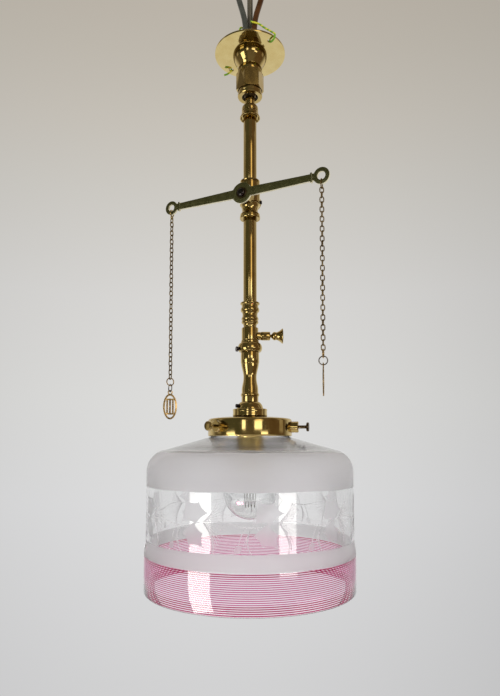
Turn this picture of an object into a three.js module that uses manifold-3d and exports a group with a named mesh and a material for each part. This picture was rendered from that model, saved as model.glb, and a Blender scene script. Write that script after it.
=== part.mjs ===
// Gas ceiling light: a brass pendant with a swing joint, a lever cock on two chains, and a glass shade.
// Millimetres, +Z up. The origin is the centre of the ceiling plate's upper face, on the stem's axis.
import * as THREE from 'three';
import { mergeVertices } from 'three/addons/utils/BufferGeometryUtils.js';
import Module from 'manifold-3d';

const wasm = await Module();
wasm.setup();

// Facets round turned pieces, glass, small pieces and wires
const turnedFacets = 16;
const plateFacets = 26;
const shadeFacets = 30;
const smallFacets = 8;
const arcSteps = 3;
const ballFacets = 24;
const ballSteps = 8;
const linkArcSteps = 3;
const linkSides = 4;
const ringSteps = 10;
const ringSides = 4;
const hookSteps = 10;
const flexSides = 8;
const flexSteps = 14;
const tieSides = 6;
const tieSteps = 36;

// Turns in degrees
const quarterTurn = 90;
const halfTurn = 180;
const fullTurn = 360;

// Clearances and the depth by which joined solids run into each other
const seatGap = 0.3;
const runningGap = 0.3;
const overrun = 2;

// Ceiling plate
const plateRadius = 37;
const plateThickness = 2;
const plateEdge = 0.7;
const plateBoreRadius = 10.8;
const fixingHoleRadius = 2.6;
const fixingCircleRadius = 30.3;
const fixingAngle = 132;

// Bush in the plate's bore
const bushFlangeRadius = 12.4;
const bushFlangeThickness = 2;
const bushDepth = 2.6;
const bushBoreRadius = 7.4;

// Boss under the plate
const bossRadius = 17.8;
const bossNeckRadius = 11.9;
const bossHeight = 15.5;
const bossDome = 5.5;
const bossHollowRadius = 11;
const bossHollowDepth = 7.5;
const bossBoreRadius = 5;
const bossSpigotRadius = 10.6;
const bossSpigotLength = 9;

// Union nut with its cup and lip
const nutAcrossFlats = 25.4;
const nutHexHeight = 15.5;
const nutHexTurn = -20;
const nutChamfer = 1.4;
const cupRadius = 12.1;
const cupLipRadius = 12.95;
const cupLipHeight = 3.4;
const cupHeight = 15.5;
const mouthRadius = 8;

// Ball, its neck and the packing round it
const ballRadius = 8.8;
const ballToMouth = 7;
const ballBoreRadius = 2.6;
const ballNeckRadius = 5.2;
const ballNeckShown = 9.3;
const neckSpigotRadius = 4;
const neckSpigotLength = 7;
const packingThickness = 0.8;
const packingUpperLatitude = 40;
const packingLowerLatitude = -33;

// Tubes
const tubeRadius = 6.9;
const tubeWall = 1.3;
const tubeSocketDepth = 5;
const upperTubeShown = 67.9;
const lowerTubeShown = 88;

// Upper collar
const collarTopRadius = 6.85;
const collarShoulderRadius = 8.6;
const collarShoulderHeight = 3.8;
const collarBandHeight = 2.8;
const collarFlareHeight = 4.4;
const collarRadius = 10.6;
const collarRimHeight = 1.1;
const collarHeight = 13.7;

// Lever cock
const cockRadius = 10.3;
const cockRimHeight = 2.6;
const cockGroove = 0.7;
const cockBodyHeight = 20.5;
const cockHeight = 40.6;
const cockWaistRadius = 8.2;
const cockWaistHeight = 6;
const cockFootRadius = 10.55;
const cockWayRadius = 4.2;
const barrelDrop = 20.1;
const barrelRadius = 8;
const barrelNear = 15.4;
const barrelFar = 11.6;
const plugNearRadius = 5.4;
const plugFarRadius = 4.6;
const plugWayRadius = 3.4;
const plugFlangeRadius = 7;
const plugFlangeThickness = 1.8;
const plugSquare = 6.4;
const plugTailRadius = 2.3;
const plugTailLength = 4.6;
const tailWasherRadius = 5.2;
const tailWasherThickness = 1;
const tailNutAcrossFlats = 8;
const tailNutThickness = 2.6;
const cockScrewRadius = 1.9;
const cockScrewLength = 4.2;
const cockScrewShown = 2.2;
const cockScrewDrop = 22.6;

// Lever
const leverYaw = 26;
const leverReach = 84.5;
const leverThickness = 2.2;
const leverBossRadius = 10.6;
const armRootWidth = 9.4;
const armTipWidth = 6.6;
const leftEyeRadius = 7.35;
const leftEyeHoleRadius = 3.6;
const rightEyeRadius = 8.1;
const rightEyeHoleRadius = 4.1;
const armCollarWidth = 1.8;
const armCollarHeight = 9.6;
const armCollarToEye = 1.2;
const leverWasherRadius = 6;
const leverWasherThickness = 0.9;
const leverScrewRadius = 3.6;
const leverScrewDome = 2.2;
const leverScrewShankRadius = 1.5;
const leverScrewLength = 7;

// Chains, rings and tags
const linkWireRadius = 0.55;
const linkPitch = 4.7;
const linkWidth = 3.6;
const linkWeld = 0.12;
const leftLinks = 37;
const rightLinks = 33;
const leftChainTurn = -45;
const rightChainTurn = 4;
const hookWireRadius = 0.65;
const hookUpperRadius = 3.2;
const hookLowerRadius = 1.6;
const hookPlay = 0.5;
const hookUpperSweep = 318;
const hookLowerSweep = 292;
const hangerWidth = 4.4;
const hangerLength = 9.4;
const ringRadius = 4;
const ringWireRadius = 0.55;
const leftRingTurns = [35, -58];
const rightRingTurns = [75, -8];
const tagHeight = 27;
const tagWidth = 14.6;
const tagThickness = 1;
const tagRim = 1.7;
const tagBarWidth = 1.3;
const tagBarSpacing = 3;
const tagBars = 3;
const tagChordRise = 7.6;
const tagEyeletHoleRadius = 1.45;
const tagEyeletRim = 1.2;
const leftTagTurn = 4;
const rightTagTurn = 80;

// Ringed union over the tap
const unionHeight = 26.3;
const unionRadius = 10;
const unionBeadRadius = 9.6;
const unionBeadHeight = 3.4;
const unionWaistRadius = 7.7;
const unionNeckRadius = 6.7;
const unionLowerBeadRadius = 8.8;
const unionGap = 1.2;

// Regulating tap
const tapRadius = 8.55;
const tapHeight = 13.3;
const tapRound = 1.2;
const tapAxisDrop = 8.4;
const tapBossRadius = 4.45;
const tapBossReach = 20.6;
const wayRadius = 4.2;
const spigotRadius = 6.6;
const spigotLength = 5;
const needleRadius = 1.7;
const needleInner = 5.4;
const keyNeckLength = 1.6;
const keyMouthRadius = 7.8;
const keyLength = 11.5;
const keyRimThickness = 0.9;

// Clamp ring and baluster
const clampRingLineRadius = 9.2;
const clampRingRadius = 12.5;
const clampRingEdgeRadius = 11.2;
const clampRingLineHeight = 2.4;
const clampRingHeight = 11.9;
const clampScrewHeadRadius = 2.6;
const clampScrewHeadLength = 2.4;
const clampScrewShankRadius = 1.4;
const clampScrewDrop = 9.2;
const clampScrewAngle = 200;
const balusterRadius = 9.4;
const balusterHeight = 51;
const balusterTopHeight = 11.8;
const balusterWaistRadius = 6.7;
const balusterWaistDrop = 25.3;
const balusterHipRadius = 8.3;
const balusterHipDrop = 36.5;
const balusterFootHeight = 9.4;
const balusterFootRadius = 8.7;

// Holder cap and the ring under it
const capRadius = 13.5;
const capNeckRadius = 10.2;
const capHeight = 7;
const capScrewRadius = 1.9;
const capScrewLength = 5.4;
const capScrewShown = 2.6;
const capScrewAngle = 208;
const capScrewDrop = 4.2;
const galleryRingRadius = 17.6;
const galleryRingHeight = 7.6;
const galleryRingRound = 1.8;

// Gallery
const galleryRadius = 42.5;
const galleryHeight = 20.3;
const galleryCrown = 2.4;
const galleryCorner = 2.8;
const gallerySheet = 1;
const galleryHoleRadius = 12;
const screwBossRadius = 5.6;
const screwBossReach = 49.4;
const screwRise = 9.4;
const screwAngles = [-12, -132, 108];
const screwNames = ['thumbscrew_right', 'thumbscrew_left', 'thumbscrew_rear'];
const screwShankRadius = 1.6;
const screwHeadRadius = 4.5;
const screwHeadThickness = 2.8;
const screwShankShown = 7.8;

// Glass shade
const glassWall = 3;
const fitterRadius = 39.2;
const fitterRim = 1.7;
const fitterRimHeight = 2.4;
const fitterRise = 13.8;
const shadeDrop = 0.9;
const shadeNeckRadius = 41.6;
const shadeCreaseShare = 0.84;
const shadeConeHeight = 12.8;
const shadeRadius = 102.4;
const shadeShoulderHeight = 20;
const shadeStraightHeight = 74.3;
const shadeFlare = 1.6;
const shadeFlareHeight = 12.3;
const shadeBandHeight = 30.8;

// Lampholder, its insulator and the lamp
const holderRadius = 13.4;
const holderLength = 42;
const holderWall = 2;
const holderSpigotRadius = 11.6;
const holderSpigotLength = 6;
const insulatorLength = 15;
const plungerRadius = 1.7;
const plungerLength = 6;
const plungerShown = 2.2;
const plungerTravel = 2;
const plungerSpread = 5;
const lampCapRadius = 11;
const lampCapLength = 26;
const lampPinRadius = 1;
const lampPinReach = 1.3;
const lampPinDrop = 7;
const bayonetSlotWidth = 3;
const bayonetTurn = 22;
const bulbRadius = 26.6;
const bulbNeckRadius = 10;
const bulbWall = 0.8;
const bulbDrop = 31.9;
const lampStemRadius = 3.6;
const lampStemLength = 20;
const filamentSpread = 9;
const filamentDrop = 9;
const filamentWireRadius = 0.5;

// Flexes, the flex inside the stem, the tie wire and the block over them
const flexRadius = 3;
const flexBundleRadius = 3.9;
const flexTieHeight = 36;
const flexTieSpread = 5.6;
const flexTieDepth = 2.8;
const flexTopSpread = 12.6;
const connectorRadius = 9;
const connectorHeight = 4;
const innerFlexRadius = 1.2;
const tieRadius = 0.75;
const blockLift = 68;
const blockWidth = 42;
const blockDepth = 13;
const blockHeight = 16;
const blockScrewRadius = 2.2;
const blockScrewDepth = 3;
const blockSocketDepth = 4;
const blockHoleRadius = 1.7;
const supplyHoleRadius = 1.9;
const supplyHoleDepth = 5;
const gatherAngles = [210, 90, -30];

// Levels of the joints between the stacked pieces
const plateBottom = -plateThickness;
const nutTop = plateBottom - bossHeight;
const cupTop = nutTop - nutHexHeight;
const cupBottom = cupTop - cupHeight;
const ballLevel = cupBottom + ballToMouth;
const collarTop = cupBottom - ballNeckShown;
const collarBottom = collarTop - collarHeight;
const cockTop = collarBottom - upperTubeShown;
const cockBottom = cockTop - cockHeight;
const leverLevel = cockTop - barrelDrop;
const unionTop = cockBottom - lowerTubeShown;
const tapTop = unionTop - unionHeight;
const tapLevel = tapTop - tapAxisDrop;
const clampTop = tapTop - tapHeight;
const balusterTop = clampTop - clampRingHeight;
const capTop = balusterTop - balusterHeight;
const galleryRingTop = capTop - capHeight;
const galleryTop = galleryRingTop - galleryRingHeight;
const galleryBottom = galleryTop - galleryHeight;
const screwLevel = galleryBottom + screwRise;
const holderTop = galleryTop - gallerySheet;
const holderBottom = holderTop - holderLength;
const insulatorBottom = holderTop - insulatorLength;
const lampCapTop = insulatorBottom - plungerShown - seatGap;
const lampCapBottom = lampCapTop - lampCapLength;

const turnOf = (degrees) => THREE.MathUtils.degToRad(degrees);
const axisZ = new THREE.Vector3(0, 0, 1);

// Closed geometry as a solid
function solid(geometry) {
  geometry.deleteAttribute('normal');
  geometry.deleteAttribute('uv');
  const merged = mergeVertices(geometry);
  const place = merged.attributes.position;
  const corners = [];
  let volume = 0;
  const [a, b, c] = [new THREE.Vector3(), new THREE.Vector3(), new THREE.Vector3()];
  for (let i = 0; i < merged.index.count; i += 3) {
    const [p, q, r] = [merged.index.getX(i), merged.index.getX(i + 1), merged.index.getX(i + 2)];
    if (p === q || q === r || r === p) continue;
    corners.push(p, q, r);
    a.fromBufferAttribute(place, p);
    b.fromBufferAttribute(place, q);
    c.fromBufferAttribute(place, r);
    volume += a.dot(b.cross(c));
  }
  if (volume < 0) corners.reverse();
  const vertProperties = new Float32Array(place.array);
  const triVerts = new Uint32Array(corners);
  return new wasm.Manifold(new wasm.Mesh({ numProp: 3, vertProperties, triVerts }));
}

// Outline turned about Z
function lathe(outline, facets = turnedFacets, steps = arcSteps) {
  const geometry = new THREE.LatheGeometry(outline.getPoints(steps), facets);
  return geometry.rotateX(Math.PI / 2);
}

const turned = (outline, facets, steps) => solid(lathe(outline, facets, steps));

function rodGeometry(radius, high, low, facets = turnedFacets) {
  const outline = new THREE.Path();
  outline.moveTo(0, high);
  outline.lineTo(radius, high);
  outline.lineTo(radius, low);
  outline.lineTo(0, low);
  return lathe(outline, facets);
}

const rod = (radius, high, low, facets) => solid(rodGeometry(radius, high, low, facets));

// Rounded step of an outline down to a new level
function bead(outline, radius, drop, swell) {
  const from = outline.currentPoint;
  const middle = from.y - drop / 2;
  outline.quadraticCurveTo(radius + swell, middle, radius, from.y - drop);
}

// Outline in the XY plane given depth along Z, centred on the plane
function slab(shape, thickness, facets = smallFacets) {
  const options = { depth: thickness, bevelEnabled: false, curveSegments: facets };
  return new THREE.ExtrudeGeometry(shape, options).translate(0, 0, -thickness / 2);
}

function rectangle(x, y, width, height) {
  const shape = new THREE.Shape();
  shape.moveTo(x - width / 2, y - height / 2);
  shape.lineTo(x + width / 2, y - height / 2);
  shape.lineTo(x + width / 2, y + height / 2);
  shape.lineTo(x - width / 2, y + height / 2);
  shape.closePath();
  return shape;
}

// Wire bent in the XY plane along a line of points, joined end to end or capped
function bentWire(line, radius, sides, joined) {
  const positions = [];
  const index = [];
  const count = line.length;
  for (let i = 0; i < count; i += 1) {
    const before = line[joined ? (i + count - 1) % count : Math.max(i - 1, 0)];
    const after = line[joined ? (i + 1) % count : Math.min(i + 1, count - 1)];
    const along = after.clone().sub(before).normalize();
    const ahead = i + 1 < count || joined;
    const leg = (ahead ? after.clone().sub(line[i]) : line[i].clone().sub(before)).normalize();
    for (let k = 0; k < sides; k += 1) {
      const turn = (k * 2 * Math.PI) / sides;
      const out = (radius * Math.cos(turn)) / along.dot(leg);
      positions.push(line[i].x - along.y * out, line[i].y + along.x * out, radius * Math.sin(turn));
    }
  }
  const spans = joined ? count : count - 1;
  for (let i = 0; i < spans; i += 1) {
    const j = (i + 1) % count;
    for (let k = 0; k < sides; k += 1) {
      const m = (k + 1) % sides;
      index.push(i * sides + k, i * sides + m, j * sides + m);
      index.push(i * sides + k, j * sides + m, j * sides + k);
    }
  }
  if (!joined) {
    const last = (count - 1) * sides;
    for (let k = 2; k < sides; k += 1) {
      index.push(0, k, k - 1);
      index.push(last, last + k - 1, last + k);
    }
  }
  const geometry = new THREE.BufferGeometry();
  geometry.setAttribute('position', new THREE.Float32BufferAttribute(positions, 3));
  geometry.setIndex(index);
  return geometry;
}

function arcLine(x, y, radius, from, sweep, steps) {
  const line = [];
  for (let i = 0; i <= steps; i += 1) {
    const turn = turnOf(from + (sweep * i) / steps);
    line.push(new THREE.Vector2(x + radius * Math.cos(turn), y + radius * Math.sin(turn)));
  }
  return line;
}

// Oval loop of wire: straight sides and round ends, each end closed by a short flat run at full height
function ovalWire(length, width, radius, sides, steps) {
  const lift = (length - width) / 2;
  const rise = width / 2 / Math.cos(Math.PI / 2 / steps);
  const line = [];
  for (const side of [1, -1]) {
    for (let i = 0; i <= steps; i += 1) {
      const turn = (Math.PI * i) / steps;
      const across = (side * width * Math.cos(turn)) / 2;
      line.push(new THREE.Vector2(across, side * (lift + rise * Math.sin(turn))));
    }
  }
  return bentWire(line, radius, sides, true);
}

function roundWire(radius, wireRadius) {
  const line = arcLine(0, 0, radius, quarterTurn, fullTurn, ringSteps);
  line.pop();
  return bentWire(line, wireRadius, ringSides, true);
}

// Wire or flex laid along a smooth route
function laidWire(route, radius, sides, steps) {
  const section = new THREE.Shape();
  for (let k = 0; k < sides; k += 1) {
    const turn = (k * 2 * Math.PI) / sides;
    if (k === 0) section.moveTo(radius, 0);
    else section.lineTo(radius * Math.cos(turn), radius * Math.sin(turn));
  }
  section.closePath();
  const curve = new THREE.CatmullRomCurve3(route, false, 'centripetal');
  return new THREE.ExtrudeGeometry(section, { steps, extrudePath: curve });
}

// Upright plane turned about Z: X runs along the plane, Y runs up
function upright(geometry, degrees, lift = 0) {
  geometry.rotateX(Math.PI / 2);
  geometry.rotateZ(turnOf(degrees));
  return geometry.translate(0, 0, lift);
}

// Axis of a turned piece laid outwards at an angle round the stem
function outward(geometry, degrees, lift = 0) {
  geometry.rotateY(Math.PI / 2);
  geometry.rotateZ(turnOf(degrees));
  return geometry.translate(0, 0, lift);
}

function hexagon(acrossFlats, high, low) {
  const radius = acrossFlats / 2 / Math.cos(Math.PI / 6);
  return rodGeometry(radius, high, low, 6);
}

// Materials
function metal(colour, roughness) {
  return new THREE.MeshStandardMaterial({ color: colour, roughness, metalness: 1 });
}

function plain(colour, roughness) {
  return new THREE.MeshStandardMaterial({ color: colour, roughness, metalness: 0 });
}

const polishedBrass = () => metal('#c79a45', 0.2);
const paleBrass = () => metal('#d8bd7c', 0.25);
const agedBrass = () => metal('#6e6338', 0.45);
const bronzeWire = () => metal('#6b5330', 0.5);
const giltTag = () => metal('#b9954f', 0.45);
const darkSteel = () => metal('#2b2824', 0.4);
const greyPlastic = () => plain('#6f7072', 0.5);
const brownPlastic = () => plain('#5b3a28', 0.5);
const earthPlastic = () => plain('#a9b53a', 0.45);
const whitePlastic = () => plain('#e6e3da', 0.5);
const blackPlastic = () => plain('#202020', 0.5);
const packingCord = () => plain('#8c8471', 0.9);

function shadeGlass() {
  return new THREE.MeshStandardMaterial({
    color: '#d9d3d8', roughness: 0.15, metalness: 0, transparent: true, opacity: 0.55,
  });
}

function lampGlass() {
  return new THREE.MeshStandardMaterial({
    color: '#eef1f2', roughness: 0.03, metalness: 0, transparent: true, opacity: 0.3,
  });
}

// Ceiling plate with its bore and two fixing holes
function ceilingPlate() {
  const outline = new THREE.Path();
  outline.moveTo(0, 0);
  outline.lineTo(plateRadius - plateEdge, 0);
  outline.quadraticCurveTo(plateRadius, 0, plateRadius, -plateEdge);
  outline.lineTo(plateRadius, -plateThickness);
  outline.lineTo(0, -plateThickness);
  let body = turned(outline, plateFacets);
  body = body.subtract(rod(plateBoreRadius, overrun, -plateThickness - overrun));
  for (const angle of [fixingAngle, fixingAngle + halfTurn]) {
    const hole = rodGeometry(fixingHoleRadius, overrun, -plateThickness - overrun, smallFacets);
    hole.translate(fixingCircleRadius, 0, 0).rotateZ(turnOf(angle));
    body = body.subtract(solid(hole));
  }
  return body;
}

function plateBush() {
  const sleeve = rod(plateBoreRadius - seatGap, bushFlangeThickness / 2, -bushDepth);
  const body = rod(bushFlangeRadius, bushFlangeThickness, 0).add(sleeve);
  return body.subtract(rod(bushBoreRadius, bushFlangeThickness + overrun, -bushDepth - overrun));
}

// Domed boss: hollow for the flexes, bored down through its spigot
function ceilingBoss() {
  const outline = new THREE.Path();
  outline.moveTo(0, 0);
  outline.lineTo(bossRadius, 0);
  outline.quadraticCurveTo(bossRadius, -bossDome, bossNeckRadius, -bossHeight + bossHeight / 4);
  outline.lineTo(bossNeckRadius, -bossHeight);
  outline.lineTo(bossSpigotRadius, -bossHeight);
  outline.lineTo(bossSpigotRadius, -bossHeight - bossSpigotLength);
  outline.lineTo(0, -bossHeight - bossSpigotLength);
  const hollow = rod(bossHollowRadius, overrun, -bossHollowDepth);
  const bore = rod(bossBoreRadius, 0, -bossHeight - bossSpigotLength - overrun);
  return turned(outline).subtract(hollow).subtract(bore);
}

// Union nut: chamfered hexagon over a cup whose lip keeps the ball in
function unionNut() {
  const corner = nutAcrossFlats / 2 / Math.cos(Math.PI / 6);
  const flats = solid(hexagon(nutAcrossFlats, 0, -nutHexHeight).rotateZ(turnOf(nutHexTurn)));
  const bevel = new THREE.Path();
  bevel.moveTo(0, 0);
  bevel.lineTo(corner - nutChamfer, 0);
  bevel.lineTo(corner, -nutChamfer);
  bevel.lineTo(corner, nutChamfer - nutHexHeight);
  bevel.lineTo(corner - nutChamfer, -nutHexHeight);
  bevel.lineTo(0, -nutHexHeight);
  const cup = new THREE.Path();
  cup.moveTo(0, -nutHexHeight / 2);
  cup.lineTo(cupRadius, -nutHexHeight / 2);
  cup.lineTo(cupRadius, -nutHexHeight - cupHeight + cupLipHeight);
  bead(cup, cupLipRadius, cupLipHeight, cupLipRadius - cupRadius);
  cup.lineTo(0, -nutHexHeight - cupHeight);
  const seat = ballRadius + packingThickness + 2 * runningGap;
  const centre = -nutHexHeight - cupHeight + ballToMouth;
  const hollow = new THREE.Path();
  hollow.moveTo(0, overrun);
  hollow.lineTo(bossSpigotRadius + seatGap, overrun);
  hollow.lineTo(bossSpigotRadius + seatGap, -bossSpigotLength - seatGap);
  hollow.lineTo(seat, -bossSpigotLength - seatGap);
  hollow.lineTo(seat, centre);
  const mouthTurn = Math.acos(mouthRadius / seat);
  hollow.absarc(0, centre, seat, 0, -mouthTurn, true);
  hollow.lineTo(mouthRadius, -nutHexHeight - cupHeight - overrun);
  hollow.lineTo(0, -nutHexHeight - cupHeight - overrun);
  const body = flats.intersect(turned(bevel)).add(turned(cup, ballFacets));
  return body.subtract(turned(hollow, ballFacets));
}

// Packing ring: a band of a sphere between the ball and its cup
function packingRing() {
  const inner = ballRadius + runningGap;
  const outer = inner + packingThickness;
  const [high, low] = [turnOf(packingUpperLatitude), turnOf(packingLowerLatitude)];
  const outline = new THREE.Path();
  outline.absarc(0, 0, outer, high, low, true);
  outline.lineTo(inner * Math.cos(low), inner * Math.sin(low));
  outline.absarc(0, 0, inner, low, high, false);
  outline.closePath();
  return turned(outline, ballFacets, ballSteps / 2);
}

// Ball, neck and the spigot that the collar is screwed to
function ballStem() {
  const drop = ballToMouth + ballNeckShown;
  const meet = Math.asin(ballNeckRadius / ballRadius);
  const outline = new THREE.Path();
  outline.absarc(0, 0, ballRadius, Math.PI / 2, meet - Math.PI / 2, true);
  outline.lineTo(ballNeckRadius, -drop);
  outline.lineTo(neckSpigotRadius, -drop);
  outline.lineTo(neckSpigotRadius, -drop - neckSpigotLength);
  outline.lineTo(0, -drop - neckSpigotLength);
  const bore = rod(ballBoreRadius, ballRadius + overrun, -drop - neckSpigotLength - overrun, smallFacets);
  return turned(outline, ballFacets, ballSteps).subtract(bore);
}

function upperCollar() {
  const outline = new THREE.Path();
  outline.moveTo(0, 0);
  outline.lineTo(collarTopRadius, 0);
  outline.quadraticCurveTo(collarShoulderRadius, 0, collarShoulderRadius, -collarShoulderHeight);
  outline.lineTo(collarShoulderRadius, -collarShoulderHeight - collarBandHeight);
  const flareTop = -collarShoulderHeight - collarBandHeight - collarFlareHeight;
  outline.quadraticCurveTo(collarShoulderRadius, flareTop, collarRadius, flareTop);
  outline.lineTo(collarRadius, flareTop - collarRimHeight);
  outline.quadraticCurveTo(collarRadius, -collarHeight, tubeRadius + tubeWall, -collarHeight);
  outline.lineTo(0, -collarHeight);
  let body = turned(outline);
  body = body.subtract(rod(neckSpigotRadius + seatGap, overrun, -collarHeight - overrun));
  return body.subtract(rod(tubeRadius + seatGap, tubeSocketDepth - collarHeight, -collarHeight - overrun));
}

// Stem tube, entering a socket at each end
function stemTube(shown) {
  const length = shown + 2 * tubeSocketDepth;
  return rod(tubeRadius, 0, -length).subtract(rod(tubeRadius - tubeWall, overrun, -length - overrun));
}

// Cock body: turned pillar crossed by the plug's barrel
function cockBody() {
  const outline = new THREE.Path();
  outline.moveTo(0, 0);
  outline.lineTo(cockRadius - cockGroove, 0);
  bead(outline, cockRadius - cockGroove, cockRimHeight, cockGroove * 2);
  outline.lineTo(cockRadius, -cockRimHeight);
  outline.lineTo(cockRadius, -cockRimHeight - cockBodyHeight);
  bead(outline, cockRadius - cockGroove, cockRimHeight, cockGroove * 2);
  const waistTop = -cockBodyHeight - 2 * cockRimHeight;
  const footTop = cockRimHeight - cockHeight;
  outline.quadraticCurveTo(cockWaistRadius, waistTop, cockWaistRadius, waistTop - cockWaistHeight);
  outline.quadraticCurveTo(cockWaistRadius, footTop, cockFootRadius, footTop);
  outline.lineTo(cockFootRadius, -cockHeight);
  outline.lineTo(0, -cockHeight);
  const facing = -quarterTurn - leverYaw;
  const barrel = outward(rodGeometry(barrelRadius, barrelNear, -barrelFar), facing, -barrelDrop);
  let body = turned(outline).add(solid(barrel));
  body = body.subtract(rod(cockWayRadius, overrun, -cockHeight - overrun));
  body = body.subtract(rod(tubeRadius + seatGap, overrun, -tubeSocketDepth));
  body = body.subtract(rod(tubeRadius + seatGap, tubeSocketDepth - cockHeight, -cockHeight - overrun));
  const bore = outward(plugGeometry(runningGap, overrun), facing, -barrelDrop);
  const screwFloor = cockRadius - cockScrewLength;
  const screwHole = rodGeometry(cockScrewRadius + seatGap, cockRadius + overrun, screwFloor);
  body = body.subtract(solid(bore));
  return body.subtract(solid(outward(screwHole, 0, -cockScrewDrop)));
}

// Tapered plug along Z, widened by a clearance and lengthened at both ends
function plugGeometry(clearance, extra) {
  const outline = new THREE.Path();
  outline.moveTo(0, barrelNear + extra);
  outline.lineTo(plugNearRadius + clearance, barrelNear + extra);
  outline.lineTo(plugFarRadius + clearance, -barrelFar - extra);
  outline.lineTo(0, -barrelFar - extra);
  return lathe(outline);
}

// Cock plug: flange and square for the lever, a way across it, and a tail for its nut.
// Here Z points to the near side and Y points up.
function cockPlug() {
  const flangeBack = barrelNear + runningGap;
  const flangeFront = flangeBack + plugFlangeThickness;
  const squareFront = flangeFront + leverThickness - seatGap / 2;
  const square = new THREE.BoxGeometry(plugSquare, plugSquare, squareFront - barrelNear);
  square.translate(0, 0, (squareFront + barrelNear) / 2);
  const flange = rod(plugFlangeRadius, flangeFront, flangeBack);
  const tail = rod(plugTailRadius, 0, -barrelFar - plugTailLength, smallFacets);
  const way = rodGeometry(plugWayRadius, barrelRadius, -barrelRadius).rotateX(Math.PI / 2);
  const screwFloor = squareFront - leverScrewLength;
  const screwHole = rod(leverScrewShankRadius + seatGap, squareFront + overrun, screwFloor, smallFacets);
  const neck = rod(plugNearRadius, flangeBack + plugFlangeThickness / 2, barrelNear - overrun);
  let body = solid(plugGeometry(0, 0)).add(neck).add(flange).add(solid(square)).add(tail);
  body = body.subtract(solid(way));
  return body.subtract(screwHole);
}

// Lever: boss, two tapering arms and a flat eye at each end, in the XY plane
function lever() {
  let body = solid(rodGeometry(leverBossRadius, leverThickness / 2, -leverThickness / 2, 2 * smallFacets));
  for (const [side, eyeRadius, holeRadius] of leverEyes()) {
    const arm = new THREE.Shape();
    arm.moveTo(0, -armRootWidth / 2);
    arm.lineTo(side * leverReach, -armTipWidth / 2);
    arm.lineTo(side * leverReach, armTipWidth / 2);
    arm.lineTo(0, armRootWidth / 2);
    arm.closePath();
    const collarAt = side * (leverReach - eyeRadius - armCollarToEye);
    const collar = rectangle(collarAt, 0, armCollarWidth, armCollarHeight);
    const eye = rodGeometry(eyeRadius, leverThickness / 2, -leverThickness / 2, 2 * smallFacets);
    const hole = rodGeometry(holeRadius, leverThickness, -leverThickness, 2 * smallFacets);
    eye.translate(side * leverReach, 0, 0);
    hole.translate(side * leverReach, 0, 0);
    body = body.add(solid(slab(arm, leverThickness))).add(solid(slab(collar, leverThickness)));
    body = body.add(solid(eye)).subtract(solid(hole));
  }
  const opening = plugSquare + 2 * seatGap;
  const square = new THREE.BoxGeometry(opening, opening, 2 * leverThickness);
  return body.subtract(solid(square));
}

function leverEyes() {
  return [[-1, leftEyeRadius, leftEyeHoleRadius], [1, rightEyeRadius, rightEyeHoleRadius]];
}

function leverWasher() {
  const washer = rod(leverWasherRadius, leverWasherThickness, 0, smallFacets);
  const holeRadius = leverScrewShankRadius + seatGap;
  return washer.subtract(rod(holeRadius, leverThickness, -leverThickness, smallFacets));
}

function leverScrew() {
  const outline = new THREE.Path();
  outline.moveTo(0, leverScrewDome);
  outline.quadraticCurveTo(leverScrewRadius, leverScrewDome, leverScrewRadius, 0);
  outline.lineTo(leverScrewShankRadius, 0);
  outline.lineTo(leverScrewShankRadius, -leverScrewLength);
  outline.lineTo(0, -leverScrewLength);
  return turned(outline, smallFacets);
}

function tailWasher() {
  const washer = rod(tailWasherRadius, 0, -tailWasherThickness, smallFacets);
  return washer.subtract(rod(plugTailRadius + seatGap, overrun, -tailWasherThickness - overrun, smallFacets));
}

function tailNut() {
  const nut = solid(hexagon(tailNutAcrossFlats, 0, -tailNutThickness));
  return nut.subtract(rod(plugTailRadius + seatGap, overrun, -tailNutThickness - overrun, smallFacets));
}

// Grub screw: slotted rod laid outwards
function grubScrew(radius, length, angle) {
  const screw = rodGeometry(radius, length, 0, smallFacets);
  const slot = new THREE.BoxGeometry(radius / 2, 3 * radius, radius);
  slot.translate(0, 0, length);
  return solid(outward(screw, angle)).subtract(solid(outward(slot, angle)));
}

// Hanging loops: each is described by the height from its own centre line's middle to its top and bottom,
// and hangs a seat's gap over the wire that carries it.
function hungCentre(seatLevel, half, wireRadius, play = seatGap) {
  return seatLevel + play + wireRadius - half;
}

function lowerSeat(centre, half, wireRadius) {
  return centre - half + wireRadius;
}

// S hook through an eye: the big loop above, the small one below
function sHook() {
  const drop = hookUpperRadius + hookLowerRadius;
  const upper = arcLine(0, 0, hookUpperRadius, hookUpperSweep - quarterTurn, -hookUpperSweep, hookSteps);
  const lower = arcLine(0, -drop, hookLowerRadius, quarterTurn, hookLowerSweep, hookSteps);
  return solid(bentWire([...upper.slice(0, -1), ...lower], hookWireRadius, ringSides, false));
}

// Chain of oval links, each turned a quarter from the last and touching it where it hangs
function chain(count) {
  const half = (linkPitch - linkWeld) / 2 + linkWireRadius;
  let body = null;
  for (let i = 0; i < count; i += 1) {
    const link = ovalWire(2 * half, linkWidth, linkWireRadius, linkSides, linkArcSteps);
    upright(link, i * quarterTurn, -i * linkPitch);
    const piece = solid(link);
    body = body ? body.add(piece) : piece;
  }
  return body;
}

const linkHalf = (linkPitch - linkWeld) / 2 + linkWireRadius;

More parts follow.
